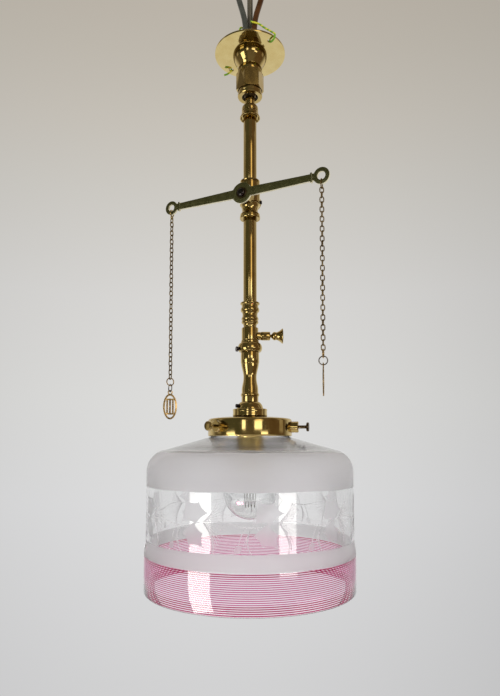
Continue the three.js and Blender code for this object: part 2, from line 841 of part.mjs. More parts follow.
// Tag: an egg-shaped rim crossed by plain bars, under a round eyelet
function tag() {
  const rim = new THREE.Shape();
  rim.absellipse(0, 0, tagWidth / 2, tagHeight / 2, 0, 2 * Math.PI);
  const window = new THREE.Path();
  window.absellipse(0, 0, tagWidth / 2 - tagRim, tagHeight / 2 - tagRim, 0, 2 * Math.PI);
  rim.holes.push(window);
  let body = solid(slab(rim, tagThickness, ringSteps));
  for (const side of [-1, 1]) {
    const reach = (tagWidth - tagRim) * Math.sqrt(1 - ((2 * tagChordRise) / (tagHeight - tagRim)) ** 2);
    body = body.add(solid(slab(rectangle(0, side * tagChordRise, reach, tagBarWidth), tagThickness)));
  }
  for (let i = 0; i < tagBars; i += 1) {
    const across = (i - (tagBars - 1) / 2) * tagBarSpacing;
    body = body.add(solid(slab(rectangle(across, 0, tagBarWidth, 2 * tagChordRise), tagThickness)));
  }
  const eyeletRadius = tagEyeletHoleRadius + tagEyeletRim;
  const eyelet = rodGeometry(eyeletRadius, tagThickness / 2, -tagThickness / 2, smallFacets);
  const hole = rodGeometry(tagEyeletHoleRadius, tagThickness, -tagThickness, smallFacets);
  const lift = tagHeight / 2 + tagEyeletHoleRadius;
  eyelet.translate(0, lift, 0);
  hole.translate(0, lift, 0);
  return body.add(solid(eyelet)).subtract(solid(hole));
}

// Ringed union: two groups of rings round a waist, a socket above and a spigot below
function ringedUnion() {
  const outline = new THREE.Path();
  outline.moveTo(0, 0);
  outline.lineTo(unionRadius - cockGroove, 0);
  bead(outline, unionRadius - cockGroove, unionBeadHeight - unionGap, cockGroove * 2);
  outline.lineTo(unionLowerBeadRadius, -unionBeadHeight);
  outline.lineTo(unionLowerBeadRadius, -unionBeadHeight - unionGap);
  bead(outline, unionLowerBeadRadius, unionBeadHeight, unionBeadRadius - unionLowerBeadRadius + unionGap);
  const waistTop = -2 * unionBeadHeight - unionGap;
  const waist = waistTop - unionBeadHeight;
  outline.quadraticCurveTo(unionWaistRadius, waistTop - unionGap, unionWaistRadius, waist);
  outline.lineTo(unionWaistRadius, waistTop - 2 * unionBeadHeight);
  bead(outline, unionWaistRadius, unionBeadHeight, 2 * (unionLowerBeadRadius - unionWaistRadius));
  bead(outline, unionNeckRadius, unionBeadHeight, 2 * (unionLowerBeadRadius - unionNeckRadius));
  outline.lineTo(unionNeckRadius, -unionHeight);
  outline.lineTo(0, -unionHeight);
  let body = turned(outline).add(rod(spigotRadius, -unionHeight / 2, -unionHeight - spigotLength));
  body = body.subtract(rod(wayRadius, overrun, -unionHeight - spigotLength - overrun));
  return body.subtract(rod(tubeRadius + seatGap, overrun, -tubeSocketDepth));
}

// Regulating tap: body with a side boss for the needle
function tapBody() {
  const outline = new THREE.Path();
  outline.moveTo(0, 0);
  outline.lineTo(tapRadius - tapRound, 0);
  outline.quadraticCurveTo(tapRadius, 0, tapRadius, -tapRound);
  outline.lineTo(tapRadius, tapRound - tapHeight);
  outline.quadraticCurveTo(tapRadius, -tapHeight, tapRadius - tapRound, -tapHeight);
  outline.lineTo(0, -tapHeight);
  const boss = outward(rodGeometry(tapBossRadius, tapBossReach, 0), 0, -tapAxisDrop);
  const needleWay = rodGeometry(needleRadius + runningGap, tapBossReach + overrun, 0, smallFacets);
  const bore = outward(needleWay, 0, -tapAxisDrop);
  const spigot = rod(spigotRadius, -tapHeight / 2, -tapHeight - spigotLength);
  let body = turned(outline).add(solid(boss)).add(spigot);
  body = body.subtract(rod(wayRadius, overrun, -tapHeight - spigotLength - overrun));
  body = body.subtract(rod(spigotRadius + seatGap, overrun, -spigotLength - seatGap));
  return body.subtract(solid(bore));
}

// Trumpet key on its needle, turned about Z
function tapKey() {
  const neckEnd = tapBossReach + keyNeckLength;
  const outline = new THREE.Path();
  outline.moveTo(0, needleInner);
  outline.lineTo(needleRadius, needleInner + needleRadius);
  outline.lineTo(needleRadius, neckEnd);
  const rimFrom = neckEnd + keyLength - keyRimThickness;
  outline.quadraticCurveTo(needleRadius * 2, neckEnd + keyLength / 2, keyMouthRadius, rimFrom);
  outline.lineTo(keyMouthRadius, neckEnd + keyLength);
  outline.lineTo(0, neckEnd + keyLength);
  return solid(outward(lathe(outline), 0));
}

// Clamp ring: line and bulging ring, bored for the spigots from above and below
function clampRing() {
  const outline = new THREE.Path();
  outline.moveTo(0, 0);
  outline.lineTo(clampRingLineRadius, 0);
  outline.lineTo(clampRingLineRadius, -clampRingLineHeight);
  outline.lineTo(clampRingEdgeRadius, -clampRingLineHeight);
  const swell = 2 * (clampRingRadius - clampRingEdgeRadius);
  bead(outline, clampRingEdgeRadius, clampRingHeight - clampRingLineHeight, swell);
  outline.lineTo(0, -clampRingHeight);
  const hole = rodGeometry(clampScrewShankRadius + seatGap, clampRingRadius + overrun, 0, smallFacets);
  let body = turned(outline).subtract(rod(spigotRadius + seatGap, overrun, -clampRingHeight - overrun));
  return body.subtract(solid(outward(hole, clampScrewAngle, -clampScrewDrop)));
}

function clampScrew() {
  const from = spigotRadius + seatGap;
  const headFrom = clampRingRadius + seatGap;
  const outline = new THREE.Path();
  outline.moveTo(0, from);
  outline.lineTo(clampScrewShankRadius, from);
  outline.lineTo(clampScrewShankRadius, headFrom);
  outline.lineTo(clampScrewHeadRadius, headFrom);
  outline.lineTo(clampScrewHeadRadius, headFrom + clampScrewHeadLength);
  outline.lineTo(0, headFrom + clampScrewHeadLength);
  return solid(outward(lathe(outline, smallFacets), clampScrewAngle));
}

// Baluster: drum, waist, hip and foot with a ring, spigots at both ends
function baluster() {
  const outline = new THREE.Path();
  outline.moveTo(0, 0);
  outline.lineTo(balusterRadius, 0);
  outline.lineTo(balusterRadius, -balusterTopHeight);
  const bend = (balusterTopHeight + balusterWaistDrop) / 2;
  outline.bezierCurveTo(balusterRadius, -bend, balusterWaistRadius, -bend, balusterWaistRadius, -balusterWaistDrop);
  const swell = (balusterWaistDrop + balusterHipDrop) / 2;
  outline.bezierCurveTo(balusterWaistRadius, -swell, balusterHipRadius, -swell, balusterHipRadius, -balusterHipDrop);
  outline.lineTo(balusterHipRadius, balusterFootHeight - balusterHeight);
  bead(outline, balusterFootRadius, balusterFootHeight / 3, 2 * (balusterRadius - balusterFootRadius));
  outline.lineTo(balusterFootRadius, -balusterHeight);
  outline.lineTo(0, -balusterHeight);
  const length = balusterHeight + spigotLength;
  const core = rod(spigotRadius, spigotLength, -length);
  return turned(outline).add(core).subtract(rod(wayRadius, spigotLength + overrun, -length - overrun));
}

function holderCap() {
  const outline = new THREE.Path();
  outline.moveTo(0, 0);
  outline.lineTo(capNeckRadius, 0);
  outline.quadraticCurveTo(capRadius, -capHeight / 4, capRadius, -capHeight);
  outline.lineTo(0, -capHeight);
  const hole = rodGeometry(capScrewRadius + seatGap, capRadius + overrun, 0, smallFacets);
  const body = turned(outline).subtract(rod(spigotRadius + seatGap, overrun, -capHeight - overrun));
  return body.subtract(solid(outward(hole, capScrewAngle, -capScrewDrop)));
}

function galleryRing() {
  const outline = new THREE.Path();
  outline.moveTo(0, 0);
  outline.lineTo(galleryRingRadius - galleryRingRound, 0);
  outline.quadraticCurveTo(galleryRingRadius, 0, galleryRingRadius, -galleryRingRound);
  outline.lineTo(galleryRingRadius, galleryRingRound - galleryRingHeight);
  const foot = galleryRingRadius - galleryRingRound;
  outline.quadraticCurveTo(galleryRingRadius, -galleryRingHeight, foot, -galleryRingHeight);
  outline.lineTo(0, -galleryRingHeight);
  return turned(outline).subtract(rod(holderSpigotRadius + seatGap, overrun, -galleryRingHeight - overrun));
}

// Gallery: spun cover with a rounded shoulder and three screw bosses
function gallery() {
  const outer = coverOutline(galleryRadius, 0, galleryCorner, -galleryHeight);
  const corner = galleryCorner - gallerySheet;
  const under = coverOutline(galleryRadius - gallerySheet, -gallerySheet, corner, -galleryHeight - overrun);
  let body = turned(outer, shadeFacets);
  for (const angle of screwAngles) {
    const boss = rodGeometry(screwBossRadius, screwBossReach, galleryRadius / 2, smallFacets + 4);
    body = body.add(solid(outward(boss, angle, screwRise - galleryHeight)));
  }
  body = body.subtract(turned(under, shadeFacets));
  for (const angle of screwAngles) {
    const holeRadius = screwShankRadius + runningGap;
    const hole = rodGeometry(holeRadius, screwBossReach + overrun, galleryRadius / 2, smallFacets);
    body = body.subtract(solid(outward(hole, angle, screwRise - galleryHeight)));
  }
  return body.subtract(rod(galleryHoleRadius, overrun, -galleryHeight));
}

function coverOutline(radius, top, corner, bottom) {
  const outline = new THREE.Path();
  outline.moveTo(0, top);
  outline.lineTo(galleryRingRadius, top);
  outline.lineTo(radius - corner, top - galleryCrown);
  outline.quadraticCurveTo(radius, top - galleryCrown, radius, top - galleryCrown - corner);
  outline.lineTo(radius, bottom);
  outline.lineTo(0, bottom);
  return outline;
}

function thumbscrew(angle) {
  const headFrom = screwBossReach + screwShankShown;
  const outline = new THREE.Path();
  outline.moveTo(0, fitterRadius + seatGap);
  outline.lineTo(screwShankRadius, fitterRadius + seatGap);
  outline.lineTo(screwShankRadius, headFrom);
  outline.lineTo(screwHeadRadius, headFrom + screwHeadThickness / 2);
  outline.lineTo(screwHeadRadius, headFrom + screwHeadThickness);
  outline.lineTo(0, headFrom + screwHeadThickness);
  return solid(outward(lathe(outline, smallFacets), angle));
}

// Glass shade: rimmed fitter neck, low cone, rounded shoulder and a straight wall, open below
function shade() {
  const outer = shadeOutline(0, 0);
  const inner = shadeOutline(glassWall, overrun);
  return turned(outer, shadeFacets).subtract(turned(inner, shadeFacets));
}

function shadeOutline(inset, extra) {
  const rimRadius = inset > 0 ? fitterRadius : fitterRadius + fitterRim;
  const coneTop = -fitterRise - shadeDrop;
  const crease = coneTop - shadeConeHeight;
  const wallTop = crease - shadeShoulderHeight;
  const flareTop = wallTop - shadeStraightHeight;
  const bandTop = flareTop - shadeFlareHeight;
  const outline = new THREE.Path();
  outline.moveTo(0, extra);
  outline.lineTo(rimRadius - inset, extra);
  outline.lineTo(rimRadius - inset, -fitterRimHeight);
  outline.lineTo(fitterRadius - inset, -fitterRimHeight);
  outline.lineTo(fitterRadius - inset, coneTop - inset);
  outline.lineTo(shadeNeckRadius - inset, coneTop - inset);
  const creaseRadius = shadeCreaseShare * shadeRadius;
  outline.lineTo(creaseRadius, crease - inset);
  const bow = shadeRadius - inset;
  outline.bezierCurveTo((creaseRadius + bow) / 2, crease - inset, bow, (crease + wallTop) / 2, bow, wallTop);
  outline.lineTo(bow, flareTop);
  outline.lineTo(bow + shadeFlare, bandTop);
  outline.lineTo(bow + shadeFlare, bandTop - shadeBandHeight - extra);
  outline.lineTo(0, bandTop - shadeBandHeight - extra);
  return outline;
}

// Lampholder: spigot, shoulder and a sleeve with two bayonet slots
function lampholder() {
  const spigotTop = gallerySheet + holderSpigotLength;
  let body = rod(holderRadius, 0, -holderLength).add(rod(holderSpigotRadius, spigotTop, -overrun));
  body = body.subtract(rod(holderRadius - holderWall, -overrun, -holderLength - overrun));
  body = body.subtract(rod(wayRadius, spigotTop + overrun, -holderLength));
  const pinLevel = lampCapTop - lampPinDrop - holderTop;
  const slotTop = pinLevel + bayonetSlotWidth / 2;
  const reach = holderRadius + overrun;
  for (const side of [0, halfTurn]) {
    const run = new THREE.BoxGeometry(reach, bayonetSlotWidth, holderLength + slotTop + overrun);
    run.translate(reach / 2, 0, (slotTop - holderLength - overrun) / 2).rotateZ(turnOf(side + bayonetTurn));
    body = body.subtract(solid(run));
    const sweep = new THREE.Shape();
    const edge = Math.asin(bayonetSlotWidth / 2 / holderRadius);
    sweep.moveTo(0, 0);
    sweep.lineTo(reach * Math.cos(turnOf(side) - edge), reach * Math.sin(turnOf(side) - edge));
    sweep.absarc(0, 0, reach, turnOf(side) - edge, turnOf(side + bayonetTurn) + edge, false);
    sweep.closePath();
    body = body.subtract(solid(slab(sweep, bayonetSlotWidth, arcSteps).translate(0, 0, pinLevel)));
  }
  return body;
}

// Insulator: disc with a centre hole for the flex and two bores for the plungers
function insulator() {
  const radius = holderRadius - holderWall - seatGap;
  let body = rod(radius, 0, overrun - insulatorLength);
  body = body.subtract(rod(innerFlexRadius + 2 * seatGap, overrun, -insulatorLength / 2, smallFacets));
  for (const side of [-1, 1]) {
    const boreRadius = plungerRadius + runningGap;
    const bore = rodGeometry(boreRadius, -insulatorLength / 3, -insulatorLength - overrun, smallFacets);
    body = body.subtract(solid(bore.translate(0, side * plungerSpread, 0)));
  }
  return body;
}

function plunger() {
  const outline = new THREE.Path();
  outline.moveTo(0, plungerLength);
  outline.lineTo(plungerRadius, plungerLength);
  outline.lineTo(plungerRadius, plungerRadius / 2);
  outline.quadraticCurveTo(plungerRadius, 0, 0, 0);
  return turned(outline, smallFacets);
}

function lampCap() {
  let body = rod(lampCapRadius, 0, -lampCapLength);
  const pinEnd = lampCapRadius + lampPinReach;
  const pins = rodGeometry(lampPinRadius, pinEnd, -pinEnd, smallFacets);
  const hollow = rod(lampStemRadius + seatGap, -lampPinDrop - 2 * lampPinRadius, -lampCapLength - overrun);
  const neck = bulbNeckRadius + seatGap;
  const collar = rod(neck, -lampCapLength / 2, -lampCapLength - overrun);
  return body.add(solid(outward(pins, 0, -lampPinDrop))).subtract(collar).subtract(hollow);
}

// Lamp glass: neck in the cap and a round bulb, one open skin
function lampBulb() {
  const skin = bulbSkin(0, 0);
  return turned(skin).subtract(turned(bulbSkin(bulbWall, overrun)));
}

function bulbSkin(inset, extra) {
  const radius = bulbRadius - inset;
  const neck = bulbNeckRadius - inset;
  const meet = Math.asin(neck / radius);
  const outline = new THREE.Path();
  outline.moveTo(0, bulbDrop + lampCapLength / 2 - seatGap + extra);
  outline.lineTo(neck, bulbDrop + lampCapLength / 2 - seatGap + extra);
  outline.lineTo(neck, radius * Math.cos(meet));
  outline.absarc(0, 0, radius, Math.PI / 2 - meet, -Math.PI / 2, true);
  return outline;
}

// Lamp stem: glass rod with a flared foot that carries the filament
function lampStem() {
  const outline = new THREE.Path();
  outline.moveTo(0, 0);
  outline.lineTo(lampStemRadius, 0);
  outline.lineTo(lampStemRadius, -lampCapLength / 2);
  outline.quadraticCurveTo(lampStemRadius / 2, -lampCapLength / 2, lampStemRadius / 2, -lampCapLength);
  outline.lineTo(lampStemRadius / 2, -lampCapLength / 2 - lampStemLength);
  outline.lineTo(0, -lampCapLength / 2 - lampStemLength);
  return turned(outline, smallFacets);
}

// Filament: lead wires down from the stem and a bent run of wire between them
function filament() {
  const half = filamentSpread / 2;
  const line = [new THREE.Vector2(-half, 0)];
  for (let i = 0; i <= 6; i += 1) {
    const across = ((i - 3) * half) / 3;
    line.push(new THREE.Vector2(across, i % 2 ? -filamentDrop : -filamentDrop / 2));
  }
  line.push(new THREE.Vector2(half, 0));
  const bar = rodGeometry(filamentWireRadius, half, -half, ringSides).rotateY(Math.PI / 2);
  return solid(upright(bentWire(line, filamentWireRadius, linkSides, false), 0)).add(solid(bar));
}

// Point round the stem's axis
function polar(degrees, radius, level) {
  return new THREE.Vector3(radius * Math.cos(turnOf(degrees)), radius * Math.sin(turnOf(degrees)), level);
}

// Routes of the three flexes: gathered in the boss, tied above the plate, spread to the block
function flexRoutes() {
  const foot = plateBottom - bossHollowDepth + connectorHeight + seatGap;
  const head = blockLift + blockSocketDepth - seatGap;
  const gathered = gatherAngles.map((angle) => polar(angle, flexBundleRadius, 0));
  const tied = [
    new THREE.Vector3(-flexTieSpread, -flexTieDepth / 2, flexTieHeight),
    new THREE.Vector3(0, flexTieDepth + flexRadius / 4, flexTieHeight),
    new THREE.Vector3(flexTieSpread, -flexTieDepth, flexTieHeight),
  ];
  return gathered.map((low, i) => {
    const spread = (i - 1) * flexTopSpread;
    return [
      new THREE.Vector3(low.x, low.y, foot),
      new THREE.Vector3(low.x, low.y, bushFlangeThickness),
      tied[i],
      new THREE.Vector3(spread, 0, blockLift - flexRadius),
      new THREE.Vector3(spread, 0, head),
    ];
  });
}

// Route of the tie wire: up through the far hole, between the flexes, over the near rim, back into the hole
function tieRoute() {
  const far = fixingAngle;
  const near = fixingAngle + halfTurn;
  const clear = flexRadius + tieRadius + 2 * seatGap;
  const under = plateBottom - tieRadius - 2 * seatGap;
  const rim = plateRadius + tieRadius + 4 * seatGap;
  const [left, middle, right] = flexRoutes().map((route) => route[2]);
  const between = middle.clone().add(right).divideScalar(2);
  return [
    polar(far, rim - tieRadius, under - 2 * clear / 3),
    polar(far, fixingCircleRadius + clear, under - clear),
    polar(far, fixingCircleRadius, under),
    polar(far, fixingCircleRadius, tieRadius),
    polar(far, fixingCircleRadius / 2 + bushFlangeRadius / 2, flexTieHeight / 2),
    new THREE.Vector3(left.x - clear, left.y + clear / 2, flexTieHeight - 2 * clear),
    new THREE.Vector3(left.x, left.y + 2 * clear, flexTieHeight - clear / 2),
    new THREE.Vector3(middle.x, middle.y + clear, flexTieHeight),
    new THREE.Vector3(middle.x + clear, middle.y + clear / 4, flexTieHeight + tieRadius),
    new THREE.Vector3(between.x, between.y, flexTieHeight + tieRadius),
    new THREE.Vector3(right.x - clear, right.y - clear / 3, flexTieHeight + tieRadius),
    new THREE.Vector3(right.x - clear / 4, right.y - clear, flexTieHeight),
    polar(near, fixingCircleRadius / 2, flexTieHeight - clear),
    polar(near, fixingCircleRadius, flexTieHeight / 2),
    polar(near, rim - clear, clear),
    polar(near, rim, plateBottom / 2),
    polar(near, rim - clear / 2, under - tieRadius),
    polar(near, fixingCircleRadius + tieRadius, under),
    polar(near, fixingCircleRadius, clear / 2),
  ];
}

// Terminal block over the plate: a socket, a clamping screw's recess and a supply hole for each flex,
// and two holes between them for the block's own screws
function ceilingBlock() {
  const box = new THREE.BoxGeometry(blockWidth, blockDepth, blockHeight).translate(0, 0, blockHeight / 2);
  let body = solid(box);
  const recessFloor = blockDepth / 2 - blockScrewDepth;
  for (const side of [-1, 0, 1]) {
    const socket = rodGeometry(flexRadius + seatGap, blockSocketDepth, -overrun);
    const supply = rodGeometry(supplyHoleRadius, blockHeight + overrun, blockHeight - supplyHoleDepth);
    const recess = outward(rodGeometry(blockScrewRadius, blockDepth, recessFloor), -quarterTurn, blockHeight / 2);
    body = body.subtract(solid(socket.translate(side * flexTopSpread, 0, 0)));
    body = body.subtract(solid(supply.translate(side * flexTopSpread, 0, 0)));
    body = body.subtract(solid(recess.translate(side * flexTopSpread, 0, 0)));
  }
  for (const side of [-1, 1]) {
    const hole = outward(rodGeometry(blockHoleRadius, blockDepth, -blockDepth), -quarterTurn, blockHeight / 2);
    body = body.subtract(solid(hole.translate((side * flexTopSpread) / 2, 0, 0)));
  }
  return body;
}

function flexConnector() {
  const body = rod(connectorRadius, connectorHeight, 0);
  return body.subtract(rod(innerFlexRadius + seatGap, connectorHeight / 2, -overrun, smallFacets));
}

// Adds a named piece to a group
function piece(group, name, body, material, x = 0, y = 0, z = 0) {
  const made = body.getMesh();
  const geometry = new THREE.BufferGeometry();
  geometry.setAttribute('position', new THREE.Float32BufferAttribute(made.vertProperties, 3));
  geometry.setIndex([...made.triVerts]);
  geometry.computeVertexNormals();
  const mesh = new THREE.Mesh(geometry, material);
  mesh.name = name;
  mesh.position.set(x, y, z);
  group.add(mesh);
}

function ceilingGroup() {
  const group = new THREE.Group();
  piece(group, 'ceiling_plate', ceilingPlate(), paleBrass());
  piece(group, 'plate_bush', plateBush(), blackPlastic());
  piece(group, 'ceiling_boss', ceilingBoss(), polishedBrass(), 0, 0, plateBottom);
  piece(group, 'union_nut', unionNut(), polishedBrass(), 0, 0, nutTop);
  const hollowFloor = plateBottom - bossHollowDepth;
  piece(group, 'flex_connector', flexConnector(), whitePlastic(), 0, 0, hollowFloor);
  const tailTop = hollowFloor + connectorHeight / 2 - seatGap;
  const tailBottom = ballLevel + ballRadius + packingThickness + 2 * runningGap;
  piece(group, 'tail_flex', rod(innerFlexRadius, tailTop, tailBottom, flexSides), greyPlastic());
  const names = ['flex_left', 'flex_middle', 'flex_right'];
  const sheaths = [greyPlastic, greyPlastic, brownPlastic];
  flexRoutes().forEach((route, i) => {
    piece(group, names[i], solid(laidWire(route, flexRadius, flexSides, flexSteps)), sheaths[i]());
  });
  piece(group, 'tie_wire', solid(laidWire(tieRoute(), tieRadius, tieSides, tieSteps)), earthPlastic());
  piece(group, 'ceiling_block', ceilingBlock(), whitePlastic(), 0, 0, blockLift);
  return group;
}

function swingGroup() {
  const group = new THREE.Group();
  group.position.z = ballLevel;
  piece(group, 'packing_ring', packingRing(), packingCord());
  piece(group, 'ball_stem', ballStem(), polishedBrass());
  return group;
}

function stemGroup() {
  const group = new THREE.Group();
  piece(group, 'upper_collar', upperCollar(), polishedBrass(), 0, 0, collarTop);
  piece(group, 'upper_tube', stemTube(upperTubeShown), polishedBrass(), 0, 0, collarBottom + tubeSocketDepth);
  piece(group, 'cock_body', cockBody(), polishedBrass(), 0, 0, cockTop);
  const screwFrom = cockRadius + cockScrewShown - cockScrewLength;
  const grub = grubScrew(cockScrewRadius, cockScrewLength, 0);
  piece(group, 'cock_grub_screw', grub, darkSteel(), screwFrom, 0, cockTop - cockScrewDrop);
  piece(group, 'lower_tube', stemTube(lowerTubeShown), polishedBrass(), 0, 0, cockBottom + tubeSocketDepth);
  piece(group, 'ringed_union', ringedUnion(), polishedBrass(), 0, 0, unionTop);
  piece(group, 'tap_body', tapBody(), polishedBrass(), 0, 0, tapTop);
  piece(group, 'tap_key', tapKey(), polishedBrass(), 0, 0, tapLevel);
  piece(group, 'clamp_ring', clampRing(), polishedBrass(), 0, 0, clampTop);
  piece(group, 'clamp_screw', clampScrew(), darkSteel(), 0, 0, clampTop - clampScrewDrop);
  piece(group, 'baluster', baluster(), polishedBrass(), 0, 0, balusterTop);
  piece(group, 'holder_cap', holderCap(), polishedBrass(), 0, 0, capTop);
  const capFrom = polar(capScrewAngle, capRadius + capScrewShown - capScrewLength, capTop - capScrewDrop);
  const capScrew = grubScrew(capScrewRadius, capScrewLength, capScrewAngle);
  piece(group, 'cap_screw', capScrew, darkSteel(), capFrom.x, capFrom.y, capFrom.z);
  const flexTop = ballLevel + ballRadius;
  const flexEnd = holderTop - insulatorLength / 3;
  piece(group, 'inner_flex', rod(innerFlexRadius, flexTop, flexEnd, flexSides), greyPlastic());
  return group;
}

// Lever's frame: X along the arms, Y up, Z to the near side
function leverGroup() {
  const group = new THREE.Group();
  const along = new THREE.Vector3(Math.cos(turnOf(-leverYaw)), Math.sin(turnOf(-leverYaw)), 0);
  const near = along.clone().cross(axisZ);
  const frame = new THREE.Matrix4().makeBasis(along, axisZ, near);
  group.setRotationFromMatrix(frame);
  group.position.z = leverLevel;
  const leverBack = barrelNear + runningGap + plugFlangeThickness;
  const leverFront = leverBack + leverThickness;
  piece(group, 'cock_plug', cockPlug(), agedBrass());
  piece(group, 'lever', lever(), agedBrass(), 0, 0, (leverBack + leverFront) / 2);
  piece(group, 'lever_washer', leverWasher(), agedBrass(), 0, 0, leverFront);
  piece(group, 'lever_screw', leverScrew(), darkSteel(), 0, 0, leverFront + leverWasherThickness);
  piece(group, 'tail_washer', tailWasher(), polishedBrass(), 0, 0, -barrelFar - runningGap);
  const nutAt = -barrelFar - runningGap - tailWasherThickness;
  piece(group, 'tail_nut', tailNut(), polishedBrass(), 0, 0, nutAt);
  return group;
}

// Place of an eye's centre in the part's frame
function eyePlace(side) {
  const out = barrelNear + runningGap + plugFlangeThickness + leverThickness / 2;
  const reach = polar(-leverYaw, side * leverReach, leverLevel);
  return reach.add(polar(-quarterTurn - leverYaw, out, 0));
}

const hungSolid = (geometry, turn) => solid(upright(geometry, turn));

const hungRing = (turn) => hungSolid(roundWire(ringRadius, ringWireRadius), turn);

// Rings and tag under a chain whose last link's inner face is at a level
function hangEnd(group, side, level, ringTurns, tagTurn) {
  const upper = hungCentre(level, ringRadius, ringWireRadius);
  const lower = hungCentre(lowerSeat(upper, ringRadius, ringWireRadius), ringRadius, ringWireRadius);
  const seat = lowerSeat(lower, ringRadius, ringWireRadius);
  const tagLevel = seat + seatGap - 2 * tagEyeletHoleRadius - tagHeight / 2;
  const [upperTurn, lowerTurn] = ringTurns;
  piece(group, side + '_upper_ring', hungRing(upperTurn), giltTag(), 0, 0, upper);
  piece(group, side + '_lower_ring', hungRing(lowerTurn), bronzeWire(), 0, 0, lower);
  const made = new THREE.Group();
  made.rotation.z = turnOf(tagTurn);
  made.rotation.x = Math.PI / 2;
  made.rotation.order = 'ZXY';
  made.position.z = tagLevel;
  piece(made, side + '_tag', tag(), giltTag());
  group.add(made);
}

function leftChainGroup() {
  const group = new THREE.Group();
  group.position.copy(eyePlace(-1));
  const hook = hungCentre(-leftEyeHoleRadius, hookUpperRadius, hookWireRadius, hookPlay);
  const made = sHook();
  const turnedHook = new THREE.Group();
  turnedHook.rotation.order = 'ZXY';
  turnedHook.rotation.set(Math.PI / 2, 0, turnOf(-quarterTurn - leverYaw));
  turnedHook.position.z = hook;
  piece(turnedHook, 'left_s_link', made, giltTag());
  group.add(turnedHook);
  const lowerLoop = hook - hookUpperRadius - hookLowerRadius;
  const first = hungCentre(lowerSeat(lowerLoop, hookLowerRadius, hookWireRadius), linkHalf, linkWireRadius);
  const links = new THREE.Group();
  links.rotation.z = turnOf(leftChainTurn);
  links.position.z = first;
  piece(links, 'left_chain', chain(leftLinks), bronzeWire());
  group.add(links);
  const last = first - (leftLinks - 1) * linkPitch;
  hangEnd(group, 'left', lowerSeat(last, linkHalf, linkWireRadius), leftRingTurns, leftTagTurn);
  return group;
}

function rightChainGroup() {
  const group = new THREE.Group();
  group.position.copy(eyePlace(1));
  const half = hangerLength / 2;
  const hanger = hungCentre(-rightEyeHoleRadius, half, linkWireRadius, hookPlay);
  const loop = ovalWire(hangerLength, hangerWidth, linkWireRadius, ringSides, linkArcSteps);
  piece(group, 'right_hanger', hungSolid(loop, -quarterTurn - leverYaw), bronzeWire(), 0, 0, hanger);
  const first = hungCentre(lowerSeat(hanger, half, linkWireRadius), linkHalf, linkWireRadius);
  const links = new THREE.Group();
  links.rotation.z = turnOf(rightChainTurn);
  links.position.z = first;
  piece(links, 'right_chain', chain(rightLinks), bronzeWire());
  group.add(links);
  const last = first - (rightLinks - 1) * linkPitch;
  hangEnd(group, 'right', lowerSeat(last, linkHalf, linkWireRadius), rightRingTurns, rightTagTurn);
  return group;
}

function galleryGroup() {
  const group = new THREE.Group();
  piece(group, 'gallery_ring', galleryRing(), polishedBrass(), 0, 0, galleryRingTop);
  piece(group, 'gallery', gallery(), polishedBrass(), 0, 0, galleryTop);
  screwAngles.forEach((angle, i) => {
    piece(group, screwNames[i], thumbscrew(angle), darkSteel(), 0, 0, screwLevel);
  });
  piece(group, 'shade', shade(), shadeGlass(), 0, 0, galleryBottom + fitterRise);
  return group;
}

function lampGroup() {
  const group = new THREE.Group();
  piece(group, 'lampholder', lampholder(), polishedBrass(), 0, 0, holderTop);
  piece(group, 'insulator', insulator(), whitePlastic(), 0, 0, holderTop - overrun);
  const contacts = ['contact_near', 'contact_far'];
  contacts.forEach((name, i) => {
    const across = (2 * i - 1) * plungerSpread;
    piece(group, name, plunger(), polishedBrass(), 0, across, insulatorBottom - plungerShown);
  });
  piece(group, 'lamp_cap', lampCap(), polishedBrass(), 0, 0, lampCapTop);
  piece(group, 'lamp_glass', lampBulb(), lampGlass(), 0, 0, lampCapBottom - bulbDrop);
  piece(group, 'lamp_stem', lampStem(), lampGlass(), 0, 0, lampCapBottom + lampCapLength / 2);
  const filamentTop = lampCapBottom - lampStemLength - filamentWireRadius - seatGap;
  piece(group, 'filament', filament(), darkSteel(), 0, 0, filamentTop);
  return group;
}

const pendant = new THREE.Group();
pendant.add(ceilingGroup(), swingGroup(), stemGroup(), leverGroup());
pendant.add(leftChainGroup(), rightChainGroup(), galleryGroup(), lampGroup());

export default pendant;
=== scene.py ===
# %% [markdown]
# # A gas ceiling light, dressed over its CAD frame
#
# The light hangs from a brass plate. Under the plate are a ball joint, a stem with a lever cock and
# two pull chains, a small tap, a baluster and a gallery whose three thumbscrews hold a glass shade.
# The CAD model is loaded first and stays where it is. Each of its visible pieces is then modelled
# again here with more care, in the same place, and takes a procedural finish.

import math

import bmesh
import bpy
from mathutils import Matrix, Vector


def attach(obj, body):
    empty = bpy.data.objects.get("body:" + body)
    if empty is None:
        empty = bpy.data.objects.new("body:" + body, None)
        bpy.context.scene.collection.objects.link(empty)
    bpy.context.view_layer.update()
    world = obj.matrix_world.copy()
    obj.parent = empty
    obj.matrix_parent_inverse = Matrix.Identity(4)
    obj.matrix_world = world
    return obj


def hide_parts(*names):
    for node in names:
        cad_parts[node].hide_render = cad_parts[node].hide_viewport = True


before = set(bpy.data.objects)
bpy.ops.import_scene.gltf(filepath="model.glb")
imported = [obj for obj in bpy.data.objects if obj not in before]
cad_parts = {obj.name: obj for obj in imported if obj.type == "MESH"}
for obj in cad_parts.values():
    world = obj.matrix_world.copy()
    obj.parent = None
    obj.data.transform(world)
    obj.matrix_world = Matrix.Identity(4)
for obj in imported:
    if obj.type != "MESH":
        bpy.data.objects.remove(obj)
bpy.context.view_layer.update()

# %% [markdown]
# Sizes are written in millimetres, as on a maker's drawing, and one factor turns them into metres.
# The levels are the heights at which one piece of the stem meets the next. They count down from the
# upper face of the ceiling plate, which is the origin.

# %% Levels of the joints
MM = 0.001

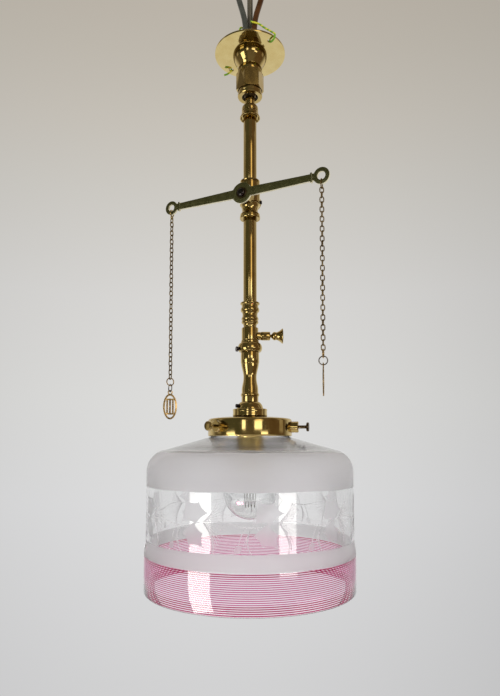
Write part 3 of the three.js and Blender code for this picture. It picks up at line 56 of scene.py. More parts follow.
PLATE_BOTTOM = -2.0
CUP_BOTTOM = -48.5
BALL = -41.5
COLLAR_TOP = -57.8
COCK_TOP = -139.4
LEVER = -159.5
COCK_BOTTOM = -180.0
UNION_TOP = -268.0
TAP_TOP = -294.3
TAP_AXIS = -302.7
CLAMP_TOP = -307.6
BALUSTER_TOP = -319.5
CAP_TOP = -370.5
GALLERY_RING_TOP = -377.5
GALLERY_TOP = -385.1
SCREWS = -396.0
HOLDER_TOP = -386.1
HOLDER_BOTTOM = -428.1
INSULATOR_BOTTOM = -401.1
LAMP_CAP_TOP = -403.6
LAMP_CAP_BOTTOM = -429.6
BULB = -461.5
print("the stem is", round(COLLAR_TOP - GALLERY_TOP, 1), "mm long between its ball joint and its gallery")

# %% [markdown]
# The photograph was taken from a little below the middle of the light, close to it, with the lens
# tipped up by four degrees. Those three facts give the camera. The small upward shift of the lens
# moves the picture without turning the verticals.

# %% Camera
camera_data = bpy.data.cameras.new("camera")
camera_data.lens = 29.15
camera_data.sensor_width = 36.0
camera_data.shift_y = 0.0813
camera = bpy.data.objects.new("camera", camera_data)
camera.location = (0.0, -0.571, -0.4129)
camera.rotation_euler = (math.radians(94.0), 0.0, 0.0)
bpy.context.scene.collection.objects.link(camera)
bpy.context.scene.camera = camera
print("camera", tuple(round(v, 3) for v in camera.location), "lens", camera_data.lens)

# %% [markdown]
# Three round flexes carry the light here. They leave the plate through a black bush, are gathered
# by a tie wire, and end in a terminal block just above the view. A flex is one smooth centre line
# with a round section, so a curve object suits it better than a mesh. The line is drawn through a
# few points by a centripetal spline, which never loops or overshoots.

# %% Smooth lines
def smooth_line(points, count):
    """Points along a centripetal Catmull-Rom spline through the given ones."""
    points = [Vector(p) for p in points]
    ends = [2 * points[0] - points[1], *points, 2 * points[-1] - points[-2]]
    line = []
    for step in range(count):
        along = step * (len(points) - 1) / (count - 1)
        span = min(int(along), len(points) - 2)
        share = along - span
        a, b, c, d = ends[span : span + 4]
        t = [0.0]
        for p, q in ((a, b), (b, c), (c, d)):
            t.append(t[-1] + max((q - p).length, 1e-9) ** 0.5)
        at = t[1] + share * (t[2] - t[1])
        ab = a.lerp(b, (at - t[0]) / (t[1] - t[0]))
        bc = b.lerp(c, (at - t[1]) / (t[2] - t[1]))
        cd = c.lerp(d, (at - t[2]) / (t[3] - t[2]))
        abc = ab.lerp(bc, (at - t[0]) / (t[2] - t[0]))
        bcd = bc.lerp(cd, (at - t[1]) / (t[3] - t[1]))
        line.append(abc.lerp(bcd, (at - t[1]) / (t[2] - t[1])))
    return line


def length_of(line):
    return sum((q - p).length for p, q in zip(line, line[1:]))


def wire_curve(name, line, radius):
    """A curve object of one open spline with a round section, in metres. Blender adds the points' own
    radius to a curve's box, so the wire's radius is put there, and the bevel is one metre times that."""
    data = bpy.data.curves.new(name, "CURVE")
    data.dimensions = "3D"
    spline = data.splines.new("POLY")
    spline.points.add(len(line) - 1)
    for point, place in zip(spline.points, line):
        point.co = (*(place * MM), 1.0)
        point.radius = radius * MM
    data.bevel_depth = 1.0
    data.bevel_resolution = 5
    data.use_fill_caps = True
    made = bpy.data.objects.new(name, data)
    bpy.context.scene.collection.objects.link(made)
    return made


# %% [markdown]
# Each flex leaves its own hole in the plate's bush, is drawn in to its neighbours where the wire ties
# them, and spreads again to its own terminal. Its route is a few given points.

# %% The three flexes
FLEX_RADIUS = 3.0
FLEX_FOOT, FLEX_HEAD = -5.2, 71.7
FLEX_ROUTES = {
    "flex_left": [
        (-3.377, -1.95, FLEX_FOOT), (-3.377, -1.95, 2.0), (-5.6, -1.4, 36.0), (-12.6, 0.0, 65.0),
        (-12.6, 0.0, FLEX_HEAD),
    ],
    "flex_middle": [
        (0.0, 3.9, FLEX_FOOT), (0.0, 3.9, 2.0), (0.0, 3.55, 36.0), (0.0, 0.0, 65.0), (0.0, 0.0, FLEX_HEAD)
    ],
    "flex_right": [
        (3.377, -1.95, FLEX_FOOT), (3.377, -1.95, 2.0), (5.6, -2.8, 36.0), (12.6, 0.0, 65.0),
        (12.6, 0.0, FLEX_HEAD),
    ],
}
flexes = {}
for node, route in FLEX_ROUTES.items():
    line = smooth_line(route, 36)
    flexes[node] = wire_curve(node.replace("flex_", "flex_sheath_"), line, FLEX_RADIUS)
    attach(flexes[node], "ceiling")
    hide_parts(node)
    print(node, "is", round(length_of(line), 1), "mm long")

# %% [markdown]
# The rest is modelled with Blender's own tools, as by hand. These small helpers select one object,
# go in and out of edit mode, and apply modifiers, so that the later cells read as steps at the bench.

# %% Bench helpers
def pick(*objects):
    """Selects only these objects, the last one active."""
    bpy.ops.object.select_all(action="DESELECT")
    for each in objects:
        each.select_set(True)
    bpy.context.view_layer.objects.active = objects[-1]


def open_mesh(piece):
    pick(piece)
    bpy.ops.object.mode_set(mode="EDIT")


def close_mesh():
    bpy.ops.object.mode_set(mode="OBJECT")


def apply_place(piece):
    """Puts the object's place, turn and scale into its mesh."""
    pick(piece)
    bpy.ops.object.transform_apply(location=True, rotation=True, scale=True)


def apply_modifier(piece, kind, **settings):
    pick(piece)
    modifier = piece.modifiers.new(kind.lower(), kind)
    for key, value in settings.items():
        setattr(modifier, key, value)
    bpy.ops.object.modifier_apply(modifier=modifier.name)


def soften(piece, width=0.2, segments=2, angle=32.0):
    """Rounds the sharp edges a little, as a polished piece has them, and smooths the rest."""
    if width:
        apply_modifier(
            piece,
            "BEVEL",
            width=width * MM,
            segments=segments,
            limit_method="ANGLE",
            angle_limit=math.radians(angle),
            harden_normals=False,
        )
    pick(piece)
    bpy.ops.object.shade_smooth_by_angle(angle=math.radians(angle))
    return piece


def copy_of(piece, name):
    """A copy of a piece, with a mesh of its own."""
    pick(piece)
    bpy.ops.object.duplicate()
    made = bpy.context.object
    made.name = name
    return made


def throw_away(piece):
    pick(piece)
    bpy.ops.object.delete()


def cut(piece, tool, operation="DIFFERENCE"):
    """Cuts, joins or keeps the common part of a piece and a tool, which is then thrown away."""
    apply_modifier(piece, "BOOLEAN", object=tool, operation=operation, solver="EXACT")
    throw_away(tool)
    return piece


def polar(radius, degrees, level):
    """A place given by its distance from the stem's axis, its angle round it and its height."""
    turned = math.radians(degrees)
    return (radius * math.cos(turned), radius * math.sin(turned), level)


def join(name, *pieces):
    """Joins pieces into one mesh and gives it a name."""
    pick(*pieces)
    if len(pieces) > 1:
        bpy.ops.object.join()
    made = bpy.context.view_layer.objects.active
    made.name = name
    return made


# %% [markdown]
# Most of the light was turned on a lathe, so one helper does what the turner does. It starts from a
# small plane merged into a single point, draws the outline by extruding that point, and spins the
# line round the stem's axis. Doubled points at the seam and on the axis are merged, and then the
# normals are made to face outwards.

# %% The lathe
def turn(name, outline, sides=72, closed=True):
    """Turns an outline of (radius, level) points in millimetres round the Z axis."""
    start_radius, start_level = outline[0]
    bpy.ops.object.select_all(action="DESELECT")
    bpy.ops.mesh.primitive_plane_add(size=MM, location=(start_radius * MM, 0, start_level * MM))
    piece = bpy.context.object
    piece.name = name
    apply_place(piece)
    bpy.ops.object.mode_set(mode="EDIT")
    bpy.ops.mesh.select_all(action="SELECT")
    bpy.ops.mesh.merge(type="CENTER")
    route = [*outline[1:], outline[0]] if closed else outline[1:]
    before = outline[0]
    for point in route:
        step = ((point[0] - before[0]) * MM, 0, (point[1] - before[1]) * MM)
        bpy.ops.mesh.extrude_region_move(TRANSFORM_OT_translate={"value": step})
        before = point
    bpy.ops.mesh.select_all(action="SELECT")
    bpy.ops.mesh.spin(steps=sides, angle=2 * math.pi, center=(0, 0, 0), axis=(0, 0, 1))
    bpy.ops.mesh.select_all(action="SELECT")
    bpy.ops.mesh.remove_doubles(threshold=1e-6)
    bpy.ops.mesh.normals_make_consistent(inside=False)
    close_mesh()
    return piece


def curved(points, steps=4):
    """A soft outline through a few (radius, level) points."""
    line = smooth_line([(r, z, 0.0) for r, z in points], (len(points) - 1) * steps + 1)
    return [(p.x, p.y) for p in line]


def round_corner(radius, level, size, start, end, steps=5):
    """The round corner of an outline: an arc about (radius, level), from one angle to another."""
    turns = [math.radians(start + (end - start) * i / steps) for i in range(steps + 1)]
    return [(radius + size * math.cos(t), level + size * math.sin(t)) for t in turns]


def lay_outwards(piece, degrees, level):
    """Lays a piece that was turned along Z outwards, at an angle round the stem."""
    piece.rotation_euler = (0, math.radians(90), math.radians(degrees))
    piece.location = (0, 0, level * MM)
    apply_place(piece)
    return piece


# %% [markdown]
# A finish is a small graph of nodes. A few helpers keep the graphs short: they add a node and set its
# sockets, join two sockets, or do one sum. Patterns are read in Object coordinates, which are metres
# here, so a scale of 400 has features of about two and a half millimetres.

# %% Finish helpers
def new_finish(name):
    """A new material, its tree of nodes and its shader."""
    finish = bpy.data.materials.new(name)
    finish.use_nodes = True
    return finish, finish.node_tree, finish.node_tree.nodes["Principled BSDF"]


def node(tree, kind, settings=None, **sockets):
    """A new node with its settings and the fixed values of its sockets."""
    made = tree.nodes.new(kind)
    for key, value in (settings or {}).items():
        setattr(made, key, value)
    for key, value in sockets.items():
        made.inputs[key.replace("_", " ")].default_value = value
    return made


def wire_up(tree, source, output, target, socket):
    tree.links.new(source.outputs[output], target.inputs[socket])


def feed(tree, socket, value):
    """Sets a socket to a fixed value, or links it to a socket or to a node's first output."""
    if isinstance(value, bpy.types.Node):
        value = value.outputs[0]
    if isinstance(value, bpy.types.NodeSocket):
        tree.links.new(value, socket)
    elif isinstance(value, tuple) and len(socket.default_value) > len(value):
        socket.default_value = (*value, 1.0)
    else:
        socket.default_value = value


def combine(tree, operation, *values):
    """A sum or another operation on numbers, sockets and nodes."""
    made = node(tree, "ShaderNodeMath", {"operation": operation})
    for socket, value in zip(made.inputs, values):
        feed(tree, socket, value)
    return made


# A Mix node has its sockets for colours at these places in its lists
MIX_FACTOR, MIX_FIRST, MIX_SECOND, MIX_COLOUR = 0, 6, 7, 2


def blend_colours(tree, factor, first, second):
    """The first colour where the factor is nought, the second where it is one."""
    made = node(tree, "ShaderNodeMix", {"data_type": "RGBA"})
    for place, value in ((MIX_FACTOR, factor), (MIX_FIRST, first), (MIX_SECOND, second)):
        feed(tree, made.inputs[place], value)
    return made.outputs[MIX_COLOUR]


def ramp(tree, source, output, stops):
    """A colour ramp over a value: stops are (place, colour)."""
    made = node(tree, "ShaderNodeValToRGB")
    elements = made.color_ramp.elements
    while len(elements) < len(stops):
        elements.new(0.5)
    for element, (place, colour) in zip(elements, stops):
        element.position = place
        element.color = (*colour, 1.0)
    wire_up(tree, source, output, made, "Fac")
    return made


def stretched(tree, scale=(1.0, 1.0, 1.0)):
    """Object coordinates, scaled apart along X, Y and Z."""
    coords = node(tree, "ShaderNodeTexCoord")
    made = node(tree, "ShaderNodeMapping", Scale=scale)
    wire_up(tree, coords, "Object", made, "Vector")
    return made


def noise(tree, mapping, scale, detail=4.0, roughness=0.55):
    made = node(tree, "ShaderNodeTexNoise", Scale=scale, Detail=detail, Roughness=roughness)
    wire_up(tree, mapping, "Vector", made, "Vector")
    return made


def bump(tree, shader, source, output, strength, distance):
    made = node(tree, "ShaderNodeBump", Strength=strength, Distance=distance)
    wire_up(tree, source, output, made, "Height")
    wire_up(tree, made, "Normal", shader, "Normal")
    return made


def to_range(tree, source, output, low, high, from_low=0.0, from_high=1.0):
    """Maps a value from one range to another, and keeps it there."""
    made = node(tree, "ShaderNodeMapRange")
    made.inputs["From Min"].default_value = from_low
    made.inputs["From Max"].default_value = from_high
    made.inputs["To Min"].default_value = low
    made.inputs["To Max"].default_value = high
    wire_up(tree, source, output, made, "Value")
    return made


# %% [markdown]
# Old brass that has been polished again is never one colour. It has cloudy patches where the polish
# was thin, and very fine rings left by the lathe and the buffing wheel. The patches go into the
# colour and the roughness, and the rings into a faint bump that is squeezed along the turning axis.

# %% Brass finishes
RINGS = (30.0, 30.0, 2600.0)


def even(scale):
    return (scale, scale, scale)


def brass_finish(name, light, dark, smooth_at, rough_at, marks, depth):
    """Brass between two colours and two roughnesses, with lathe rings or an even grain."""
    finish, tree, shader = new_finish(name)
    shader.inputs["Metallic"].default_value = 1.0
    cloud = noise(tree, stretched(tree), 95.0, detail=6.0)
    colour = ramp(tree, cloud, "Fac", [(0.30, dark), (0.62, light)])
    wire_up(tree, colour, "Color", shader, "Base Color")
    smears = noise(tree, stretched(tree, (1.0, 1.0, 0.35)), 240.0, detail=5.0, roughness=0.65)
    rough = to_range(tree, smears, "Fac", smooth_at, rough_at, 0.35, 0.7)
    wire_up(tree, rough, "Result", shader, "Roughness")
    lines = noise(tree, stretched(tree, marks), 1.0, detail=2.0)
    bump(tree, shader, lines, "Fac", depth, 0.0004)
    return finish


polished_brass = brass_finish(
    "polished_brass", (0.68, 0.51, 0.20), (0.58, 0.41, 0.14), 0.07, 0.14, RINGS, 0.003
)
# A pale brass for the lever's edges: a painted highlight where they mirror the pale wall
edge_highlight_brass = brass_finish(
    "edge_highlight_brass", (0.90, 0.84, 0.62), (0.78, 0.70, 0.46), 0.25, 0.35, even(600.0), 0.02
)
edge_highlight_brass.node_tree.nodes["Principled BSDF"].inputs["Metallic"].default_value = 0.4
plate_brass = brass_finish(
    "plate_brass", (0.89, 0.71, 0.31), (0.80, 0.61, 0.24), 0.05, 0.12, even(700.0), 0.01
)
olive_brass = brass_finish(
    "olive_brass", (0.37, 0.355, 0.165), (0.27, 0.26, 0.118), 0.26, 0.36, even(400.0), 0.008
)
dark_bronze = brass_finish(
    "dark_bronze", (0.20, 0.14, 0.07), (0.10, 0.07, 0.035), 0.18, 0.34, even(500.0), 0.05
)
chain_bronze = brass_finish(
    "chain_bronze", (0.40, 0.29, 0.13), (0.20, 0.13, 0.06), 0.28, 0.48, even(900.0), 0.15
)
gilt = brass_finish("gilt", (0.72, 0.50, 0.22), (0.50, 0.32, 0.13), 0.22, 0.40, even(900.0), 0.12)
print(
    "brass finishes:", polished_brass.name, plate_brass.name, olive_brass.name, chain_bronze.name, gilt.name
)

# %% [markdown]
# The screws are blackened steel, with bright wear where a finger rubs. The flexes and the small
# insulating pieces are plastic: one colour, a little uneven, with a soft gloss.

# %% Steel and plastic finishes
def plain_finish(name, colour, shade, gloss, rough, grain=900.0, depth=0.08, metallic=0.0):
    """One colour, a little uneven, with a fine grain in its gloss."""
    finish, tree, shader = new_finish(name)
    shader.inputs["Metallic"].default_value = metallic
    place = stretched(tree)
    patches = noise(tree, place, 130.0)
    tones = ramp(tree, patches, "Fac", [(0.32, shade), (0.66, colour)])
    wire_up(tree, tones, "Color", shader, "Base Color")
    fine = noise(tree, place, grain, detail=3.0)
    wire_up(tree, to_range(tree, fine, "Fac", gloss, rough, 0.35, 0.7), "Result", shader, "Roughness")
    bump(tree, shader, fine, "Fac", depth, 0.0003)
    return finish


black_steel = plain_finish(
    "black_steel", (0.10, 0.085, 0.08), (0.045, 0.038, 0.036), 0.12, 0.26, depth=0.02, metallic=1.0
)
bright_steel = plain_finish(
    "bright_steel", (0.42, 0.40, 0.38), (0.25, 0.23, 0.21), 0.12, 0.25, metallic=1.0
)
grey_sheath = plain_finish(
    "grey_sheath", (0.070, 0.072, 0.060), (0.045, 0.047, 0.040), 0.14, 0.22, depth=0.02
)
middle_sheath = plain_finish(
    "middle_sheath", (0.115, 0.100, 0.072), (0.080, 0.068, 0.048), 0.14, 0.22, depth=0.02
)
brown_sheath = plain_finish(
    "brown_sheath", (0.080, 0.030, 0.009), (0.050, 0.018, 0.005), 0.14, 0.22, depth=0.02
)
white_plastic = plain_finish("white_plastic", (0.78, 0.76, 0.70), (0.70, 0.67, 0.61), 0.30, 0.42)
black_plastic = plain_finish("black_plastic", (0.030, 0.028, 0.027), (0.018, 0.017, 0.017), 0.38, 0.55)
packing = plain_finish(
    "packing_cord", (0.33, 0.28, 0.20), (0.20, 0.17, 0.12), 0.70, 0.92, grain=2200.0, depth=0.5
)
print("steel and plastic finishes:", black_steel.name, bright_steel.name, white_plastic.name, packing.name)

# %% [markdown]
# An earth wire is green with yellow stripes. The stripes are painted here with a wave that runs
# slantwise through the wire, bent a little out of true.

# %% Earth wire finish
earth_sheath, tree, shader = new_finish("earth_sheath")
place = stretched(tree)
stripes = node(
    tree,
    "ShaderNodeTexWave",
    {"wave_type": "BANDS", "bands_direction": "DIAGONAL"},
    Scale=95.0,
    Distortion=3.5,
    Detail=1.0,
)
wire_up(tree, place, "Vector", stripes, "Vector")
colours = ramp(tree, stripes, "Fac", [(0.42, (0.16, 0.36, 0.02)), (0.55, (0.62, 0.58, 0.03))])
wire_up(tree, colours, "Color", shader, "Base Color")
sheen_lines = noise(tree, place, 800.0)
wire_up(tree, to_range(tree, sheen_lines, "Fac", 0.22, 0.38), "Result", shader, "Roughness")
bump(tree, shader, sheen_lines, "Fac", 0.1, 0.0003)
print(earth_sheath.name, "has", len(earth_sheath.node_tree.nodes), "nodes")

# %% [markdown]
# The outer flexes are grey and brown, and the one behind them is between the two. Every finished
# piece later gets its finish, is set on the CAD body that carries it and hides the CAD node that it
# stands for, so one helper does all of that.

# %% The flexes' finish and the helper that sets a piece
for node_name, finish in (
    ("flex_left", grey_sheath), ("flex_middle", middle_sheath), ("flex_right", brown_sheath)
):
    flexes[node_name].data.materials.append(finish)


def set_piece(piece, body, finish, slot, *nodes):
    """Gives a finished piece its finish, its body and the CAD nodes that it stands for."""
    piece.data.materials.clear()
    piece.data.materials.append(finish)
    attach(piece, body)
    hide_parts(*nodes)
    faces = len(piece.data.polygons)
    print(f"{piece.name}: {faces} faces on {body}")
    return piece


# %% [markdown]
# The shade is one blown and spun piece of glass. Parts of it were frosted with acid, and its lower
# band is wound with thin pink threads. One material serves the whole piece: masks made from the
# height decide where it is clear and where it is frosted. A little noise is added to the height
# first, so that the edges of the frosted bands waver as hand-painted resist does.

# %% Masks by height
def height_in_mm(tree, waver=0.0):
    """Height above the plate in millimetres, with a slow waver."""
    coords = node(tree, "ShaderNodeTexCoord")
    parts = node(tree, "ShaderNodeSeparateXYZ")
    wire_up(tree, coords, "Object", parts, "Vector")
    height = to_range(tree, parts, "Z", -1000.0, 1000.0, -1.0, 1.0)
    if not waver:
        return height
    mapping = node(tree, "ShaderNodeMapping", Scale=(1.0, 1.0, 0.0))
    wire_up(tree, coords, "Object", mapping, "Vector")
    slow = noise(tree, mapping, 16.0, detail=1.0)
    return combine(tree, "ADD", height, to_range(tree, slow, "Fac", -waver, waver))


def between(tree, value, low, high, soft):
    """One between two values, nothing outside them, with soft edges."""
    edges = []
    for at, values in ((low, (0.0, 1.0)), (high, (1.0, 0.0))):
        edge = node(tree, "ShaderNodeMapRange", {"interpolation_type": "SMOOTHSTEP"})
        edge.inputs["From Min"].default_value = at - soft
        edge.inputs["From Max"].default_value = at + soft
        edge.inputs["To Min"].default_value = values[0]
        edge.inputs["To Max"].default_value = values[1]
        feed(tree, edge.inputs["Value"], value)
        edges.append(edge)
    return combine(tree, "MULTIPLY", *edges)


# %% [markdown]
# The shoulder and a narrow band over the threads are frosted. Frost scatters the light and lets a
# little less of it through. The cone above the shoulder is clear but was never polished, so it has a
# slight haze, and the lowest band takes a breath of pink from its threads.

# %% Shade glass
SHOULDER_FROST = (-453.6, -421.0)
LOWER_FROST = (-518.6, -504.4)
CONE = (-421.0, -396.0)
PINK_BAND = (-600.0, -518.9)

shade_glass, tree, shader = new_finish("shade_glass")
height = height_in_mm(tree, waver=1.3)
even_height = height_in_mm(tree)
frost = combine(
    tree, "MAXIMUM", between(tree, height, *SHOULDER_FROST, 0.35), between(tree, height, *LOWER_FROST, 0.35)
)
clouds = noise(tree, stretched(tree), 22.0, detail=3.0)
frost_colour = ramp(tree, clouds, "Fac", [(0.3, (0.94, 0.93, 0.95)), (0.7, (0.98, 0.97, 0.99))])
body_colour = blend_colours(tree, frost, (1.0, 1.0, 1.0), frost_colour)
body_colour = blend_colours(
    tree, between(tree, even_height, *PINK_BAND, 0.2), body_colour, (1.0, 0.955, 0.975)
)
tree.links.new(body_colour, shader.inputs["Base Color"])
frost_haze = combine(tree, "MULTIPLY", frost, 0.55)
cone_haze = combine(tree, "MULTIPLY", between(tree, even_height, *CONE, 0.6), 0.16)
wire_up(tree, combine(tree, "MAXIMUM", frost_haze, cone_haze), "Value", shader, "Roughness")
wire_up(tree, to_range(tree, frost, "Value", 1.0, 0.84), "Result", shader, "Transmission Weight")
shader.inputs["IOR"].default_value = 1.46
grain = noise(tree, stretched(tree), 1500.0, detail=2.0)
bump(tree, shader, combine(tree, "MULTIPLY", grain, frost), "Value", 0.12, 0.0002)
print("the shade's frost ends at", SHOULDER_FROST[0], "and", LOWER_FROST[0], "mm")

# %% [markdown]
# The bulb is thin clear glass. The threads are coloured glass that is buried in glass of its own
# kind, so they bend no light and only colour it. Etched leaves scatter the light a little, and the
# fine cut lines a little more.

# %% Other glass
def clear_finish(name, colour, rough, waves=0.0):
    """Clear glass of one colour, with waves in its face where it was blown."""
    finish, tree, shader = new_finish(name)
    shader.inputs["Transmission Weight"].default_value = 1.0
    shader.inputs["IOR"].default_value = 1.5
    tone = noise(tree, stretched(tree), 60.0)
    shades = ramp(tree, tone, "Fac", [(0.3, tuple(0.97 * c for c in colour)), (0.7, colour)])
    wire_up(tree, shades, "Color", shader, "Base Color")
    wire_up(tree, to_range(tree, tone, "Fac", rough, rough + 0.01), "Result", shader, "Roughness")
    if waves:
        bump(tree, shader, tone, "Fac", waves, 0.0006)
    return finish


bulb_glass = clear_finish("bulb_glass", (0.98, 0.985, 0.985), 0.0, 0.15)
thread_glass = clear_finish("thread_glass", (0.74, 0.13, 0.39), 0.0)
deep_thread_glass = clear_finish("deep_thread_glass", (0.58, 0.03, 0.20), 0.0)
for coloured in (thread_glass, deep_thread_glass):
    coloured.node_tree.nodes["Principled BSDF"].inputs["IOR"].default_value = 1.01
etched_leaf = plain_finish("etched_leaf", (1.0, 0.99, 1.0), (0.97, 0.955, 0.97), 0.30, 0.38, depth=0.05)
cut_glass = plain_finish("cut_glass", (1.0, 0.985, 1.0), (0.94, 0.92, 0.94), 0.25, 0.35, depth=0.05)
for etching, passing, bending in ((etched_leaf, 0.93, 1.22), (cut_glass, 0.78, 1.12)):
    etching.node_tree.nodes["Principled BSDF"].inputs["Transmission Weight"].default_value = passing
    etching.node_tree.nodes["Principled BSDF"].inputs["IOR"].default_value = bending
print("glass finishes:", shade_glass.name, bulb_glass.name, thread_glass.name, etched_leaf.name)

# %% [markdown]
# The light around the object is plain and soft. The world gives most of it, but it shows each kind
# of ray something else, because glass and brass live from what they stand before. What a ray sees
# depends on its direction, so the first cell measures that: how high it points, and how far round it
# goes from the camera's side.

# %% World and directions
world = bpy.data.worlds.new("room")
bpy.context.scene.world = world
world.use_nodes = True
tree = world.node_tree
tree.nodes.clear()
rays = node(tree, "ShaderNodeLightPath")
coords = node(tree, "ShaderNodeTexCoord")
direction = node(tree, "ShaderNodeSeparateXYZ")
wire_up(tree, coords, "Generated", direction, "Vector")
sideways, height = direction.outputs["X"], direction.outputs["Z"]
towards_camera = combine(tree, "MULTIPLY", direction.outputs["Y"], -1.0)
azimuth = combine(tree, "ARCTAN2", sideways, towards_camera)
azimuth_degrees = combine(tree, "MULTIPLY", azimuth, 180.0 / math.pi)
height_share = to_range(tree, direction, "Z", 0.0, 1.0, -1.0, 1.0)
print("the world reads", len(rays.outputs), "facts about a ray")


def scaled(tree, colour, amount):
    """A colour times an amount."""
    made = node(tree, "ShaderNodeVectorMath", {"operation": "SCALE"})
    feed(tree, made.inputs[0], colour)
    feed(tree, made.inputs["Scale"], amount)
    return made


def added(tree, first, second):
    """Two colours, added as lights are."""
    made = node(tree, "ShaderNodeVectorMath", {"operation": "ADD"})
    feed(tree, made.inputs[0], first)
    feed(tree, made.inputs[1], second)
    return made


# %% [markdown]
# The camera, and every ray that has passed through glass, sees a pale wall. It darkens towards the
# ceiling and fades a little to the sides, as the photograph's does. Glass gathers a little light from
# all round, so the wall seen through it is a tenth lighter.

# %% Pale wall
WALL_TONES = [
    (0.31, (0.640, 0.640, 0.645)),
    (0.45, (0.715, 0.715, 0.720)),
    (0.54, (0.715, 0.713, 0.700)),
    (0.625, (0.682, 0.672, 0.655)),
    (0.703, (0.610, 0.590, 0.550)),
    (0.75, (0.565, 0.532, 0.478)),
    (0.79, (0.515, 0.478, 0.418)),
    (0.815, (0.490, 0.448, 0.388)),
]
wall = ramp(tree, height_share, "Result", WALL_TONES)
lean = combine(tree, "MULTIPLY_ADD", sideways, -0.10, 1.0)
fade = combine(tree, "MULTIPLY_ADD", combine(tree, "MULTIPLY", sideways, sideways), -0.75, lean)
through_glass = to_range(tree, rays, "Is Transmission Ray", 1.0, 1.1)
faded_wall = scaled(tree, wall, combine(tree, "MULTIPLY", fade, through_glass))
print("the wall has", len(WALL_TONES), "tones from low to high")

# %% [markdown]
# Polished metal would look dead with nothing to mirror, so reflected rays see a room instead. It is
# dark behind the camera, greenish on the left, has brown furniture on the right, and ends at the
# pale wall. Only reflections see it, so it adds no light to the dull pieces.

# %% Room for reflections
ROOM_TONES = [
    (0.15, (0.17, 0.145, 0.110)),
    (0.45, (0.13, 0.110, 0.085)),
    (0.62, (0.095, 0.078, 0.055)),
    (0.93, (0.11, 0.09, 0.065)),
    (1.0, (0.30, 0.27, 0.21)),
]
LEFT_TONE, RIGHT_TONE = (0.074, 0.074, 0.048), (0.125, 0.085, 0.052)
left_side = between(tree, azimuth_degrees, -78.0, -22.0, 10.0)
right_side = between(tree, azimuth_degrees, 40.0, 108.0, 12.0)
camera_side = between(tree, azimuth_degrees, -118.0, 118.0, 16.0)
room = blend_colours(tree, left_side, ramp(tree, height_share, "Result", ROOM_TONES), LEFT_TONE)
room = blend_colours(tree, right_side, room, RIGHT_TONE)
room = blend_colours(tree, combine(tree, "SUBTRACT", 1.0, camera_side), room, wall)
print("the room for reflections has", len(ROOM_TONES), "tones and two sides")

# %% [markdown]
# Upright windows behind the camera give the brass its streaks and the shade its white panes. The
# low ones show in clear glass at full strength and in brass, which is less sharp, at a fifth. A warm
# lamp on the right colours the brass as well. The shade mirrors the windows in its outer face only,
# and what brass mirrors twice is dimmed, a painted shade where one piece mirrors another. Deep inside
# the glass just the bulb catches a glint, from a window's low end.

# %% Windows for reflections
# Azimuth from and to in degrees, height from and to as the sine of the elevation, and strength
LOW_WINDOWS = [(-66.0, -41.0, -0.60, -0.08, 12.5), (30.0, 49.0, -0.185, -0.08, 12.5)]
WINDOWS = [
    (-21.0, -12.0, -0.04, 0.14, 2.2),
    (12.0, 32.0, -0.04, 0.12, 2.2),
    (-98.0, -84.0, -0.05, 0.60, 0.25),
    (86.0, 100.0, -0.05, 0.60, 0.25),
]
LAMPLIGHT = (15.0, 33.0, 0.12, 0.53, 1.25)
GLINT = (-72.0, -36.0, -0.68, -0.44, 22.0)
WINDOW_COLOUR, LAMPLIGHT_COLOUR = (1.0, 0.985, 0.94), (1.0, 0.80, 0.50)


def pane_of(low, high, bottom, top, strength, soft=0.9):
    across = between(tree, azimuth_degrees, low, high, soft)
    along = between(tree, height, bottom, top, 0.02)
    return combine(tree, "MULTIPLY", combine(tree, "MULTIPLY", across, along), strength)


def count_is(output, wanted):
    """One where a ray has done something just so many times."""
    return combine(tree, "COMPARE", rays.outputs[output], wanted, 0.5)


low_glare = combine(tree, "ADD", pane_of(*LOW_WINDOWS[0]), pane_of(*LOW_WINDOWS[1]))
glare = combine(tree, "MULTIPLY", low_glare, to_range(tree, rays, "Is Singular Ray", 0.2, 1.0))
for window in WINDOWS:
    glare = combine(tree, "ADD", glare, pane_of(*window))
outer_glare = combine(tree, "MULTIPLY", glare, count_is("Transmission Depth", 0.0))
bright_room = added(tree, room, scaled(tree, WINDOW_COLOUR, outer_glare))
bright_room = added(tree, bright_room, scaled(tree, LAMPLIGHT_COLOUR, pane_of(*LAMPLIGHT, soft=6.0)))
room_and_windows = scaled(tree, bright_room, to_range(tree, rays, "Glossy Depth", 1.0, 0.38, 1.0, 2.0))

deep_inside = combine(tree, "GREATER_THAN", rays.outputs["Transmission Depth"], 3.5)
glint = combine(tree, "MULTIPLY", pane_of(*GLINT), deep_inside)
glint = combine(tree, "MULTIPLY", glint, count_is("Glossy Depth", 1.0))
wall_and_glints = added(tree, faded_wall, scaled(tree, WINDOW_COLOUR, glint))
print("world with", len(LOW_WINDOWS) + len(WINDOWS), "windows for reflections")

# %% [markdown]
# The three views are put together by the kind of ray. All rays that are neither seen nor mirrored
# bring one plain light, so that a colour renders about as it is written.

# %% What each kind of ray sees
PLAIN_LIGHT = (0.80, 0.79, 0.77)
sees_wall = combine(tree, "MAXIMUM", rays.outputs["Is Camera Ray"], rays.outputs["Is Transmission Ray"])
plain_or_room = blend_colours(tree, rays.outputs["Is Glossy Ray"], PLAIN_LIGHT, room_and_windows)
background = node(tree, "ShaderNodeBackground", Strength=1.0)
tree.links.new(blend_colours(tree, sees_wall, plain_or_room, wall_and_glints), background.inputs["Color"])
world_output = node(tree, "ShaderNodeOutputWorld")
tree.links.new(background.outputs["Background"], world_output.inputs["Surface"])
bpy.context.scene.view_settings.view_transform = "Standard"
print("the world has", len(tree.nodes), "nodes")

# %% [markdown]
# Two soft area lamps stand for open windows on the left and on the right. They model the dull pieces
# a little, and reflections don't see them, because the world has windows of its own for those.

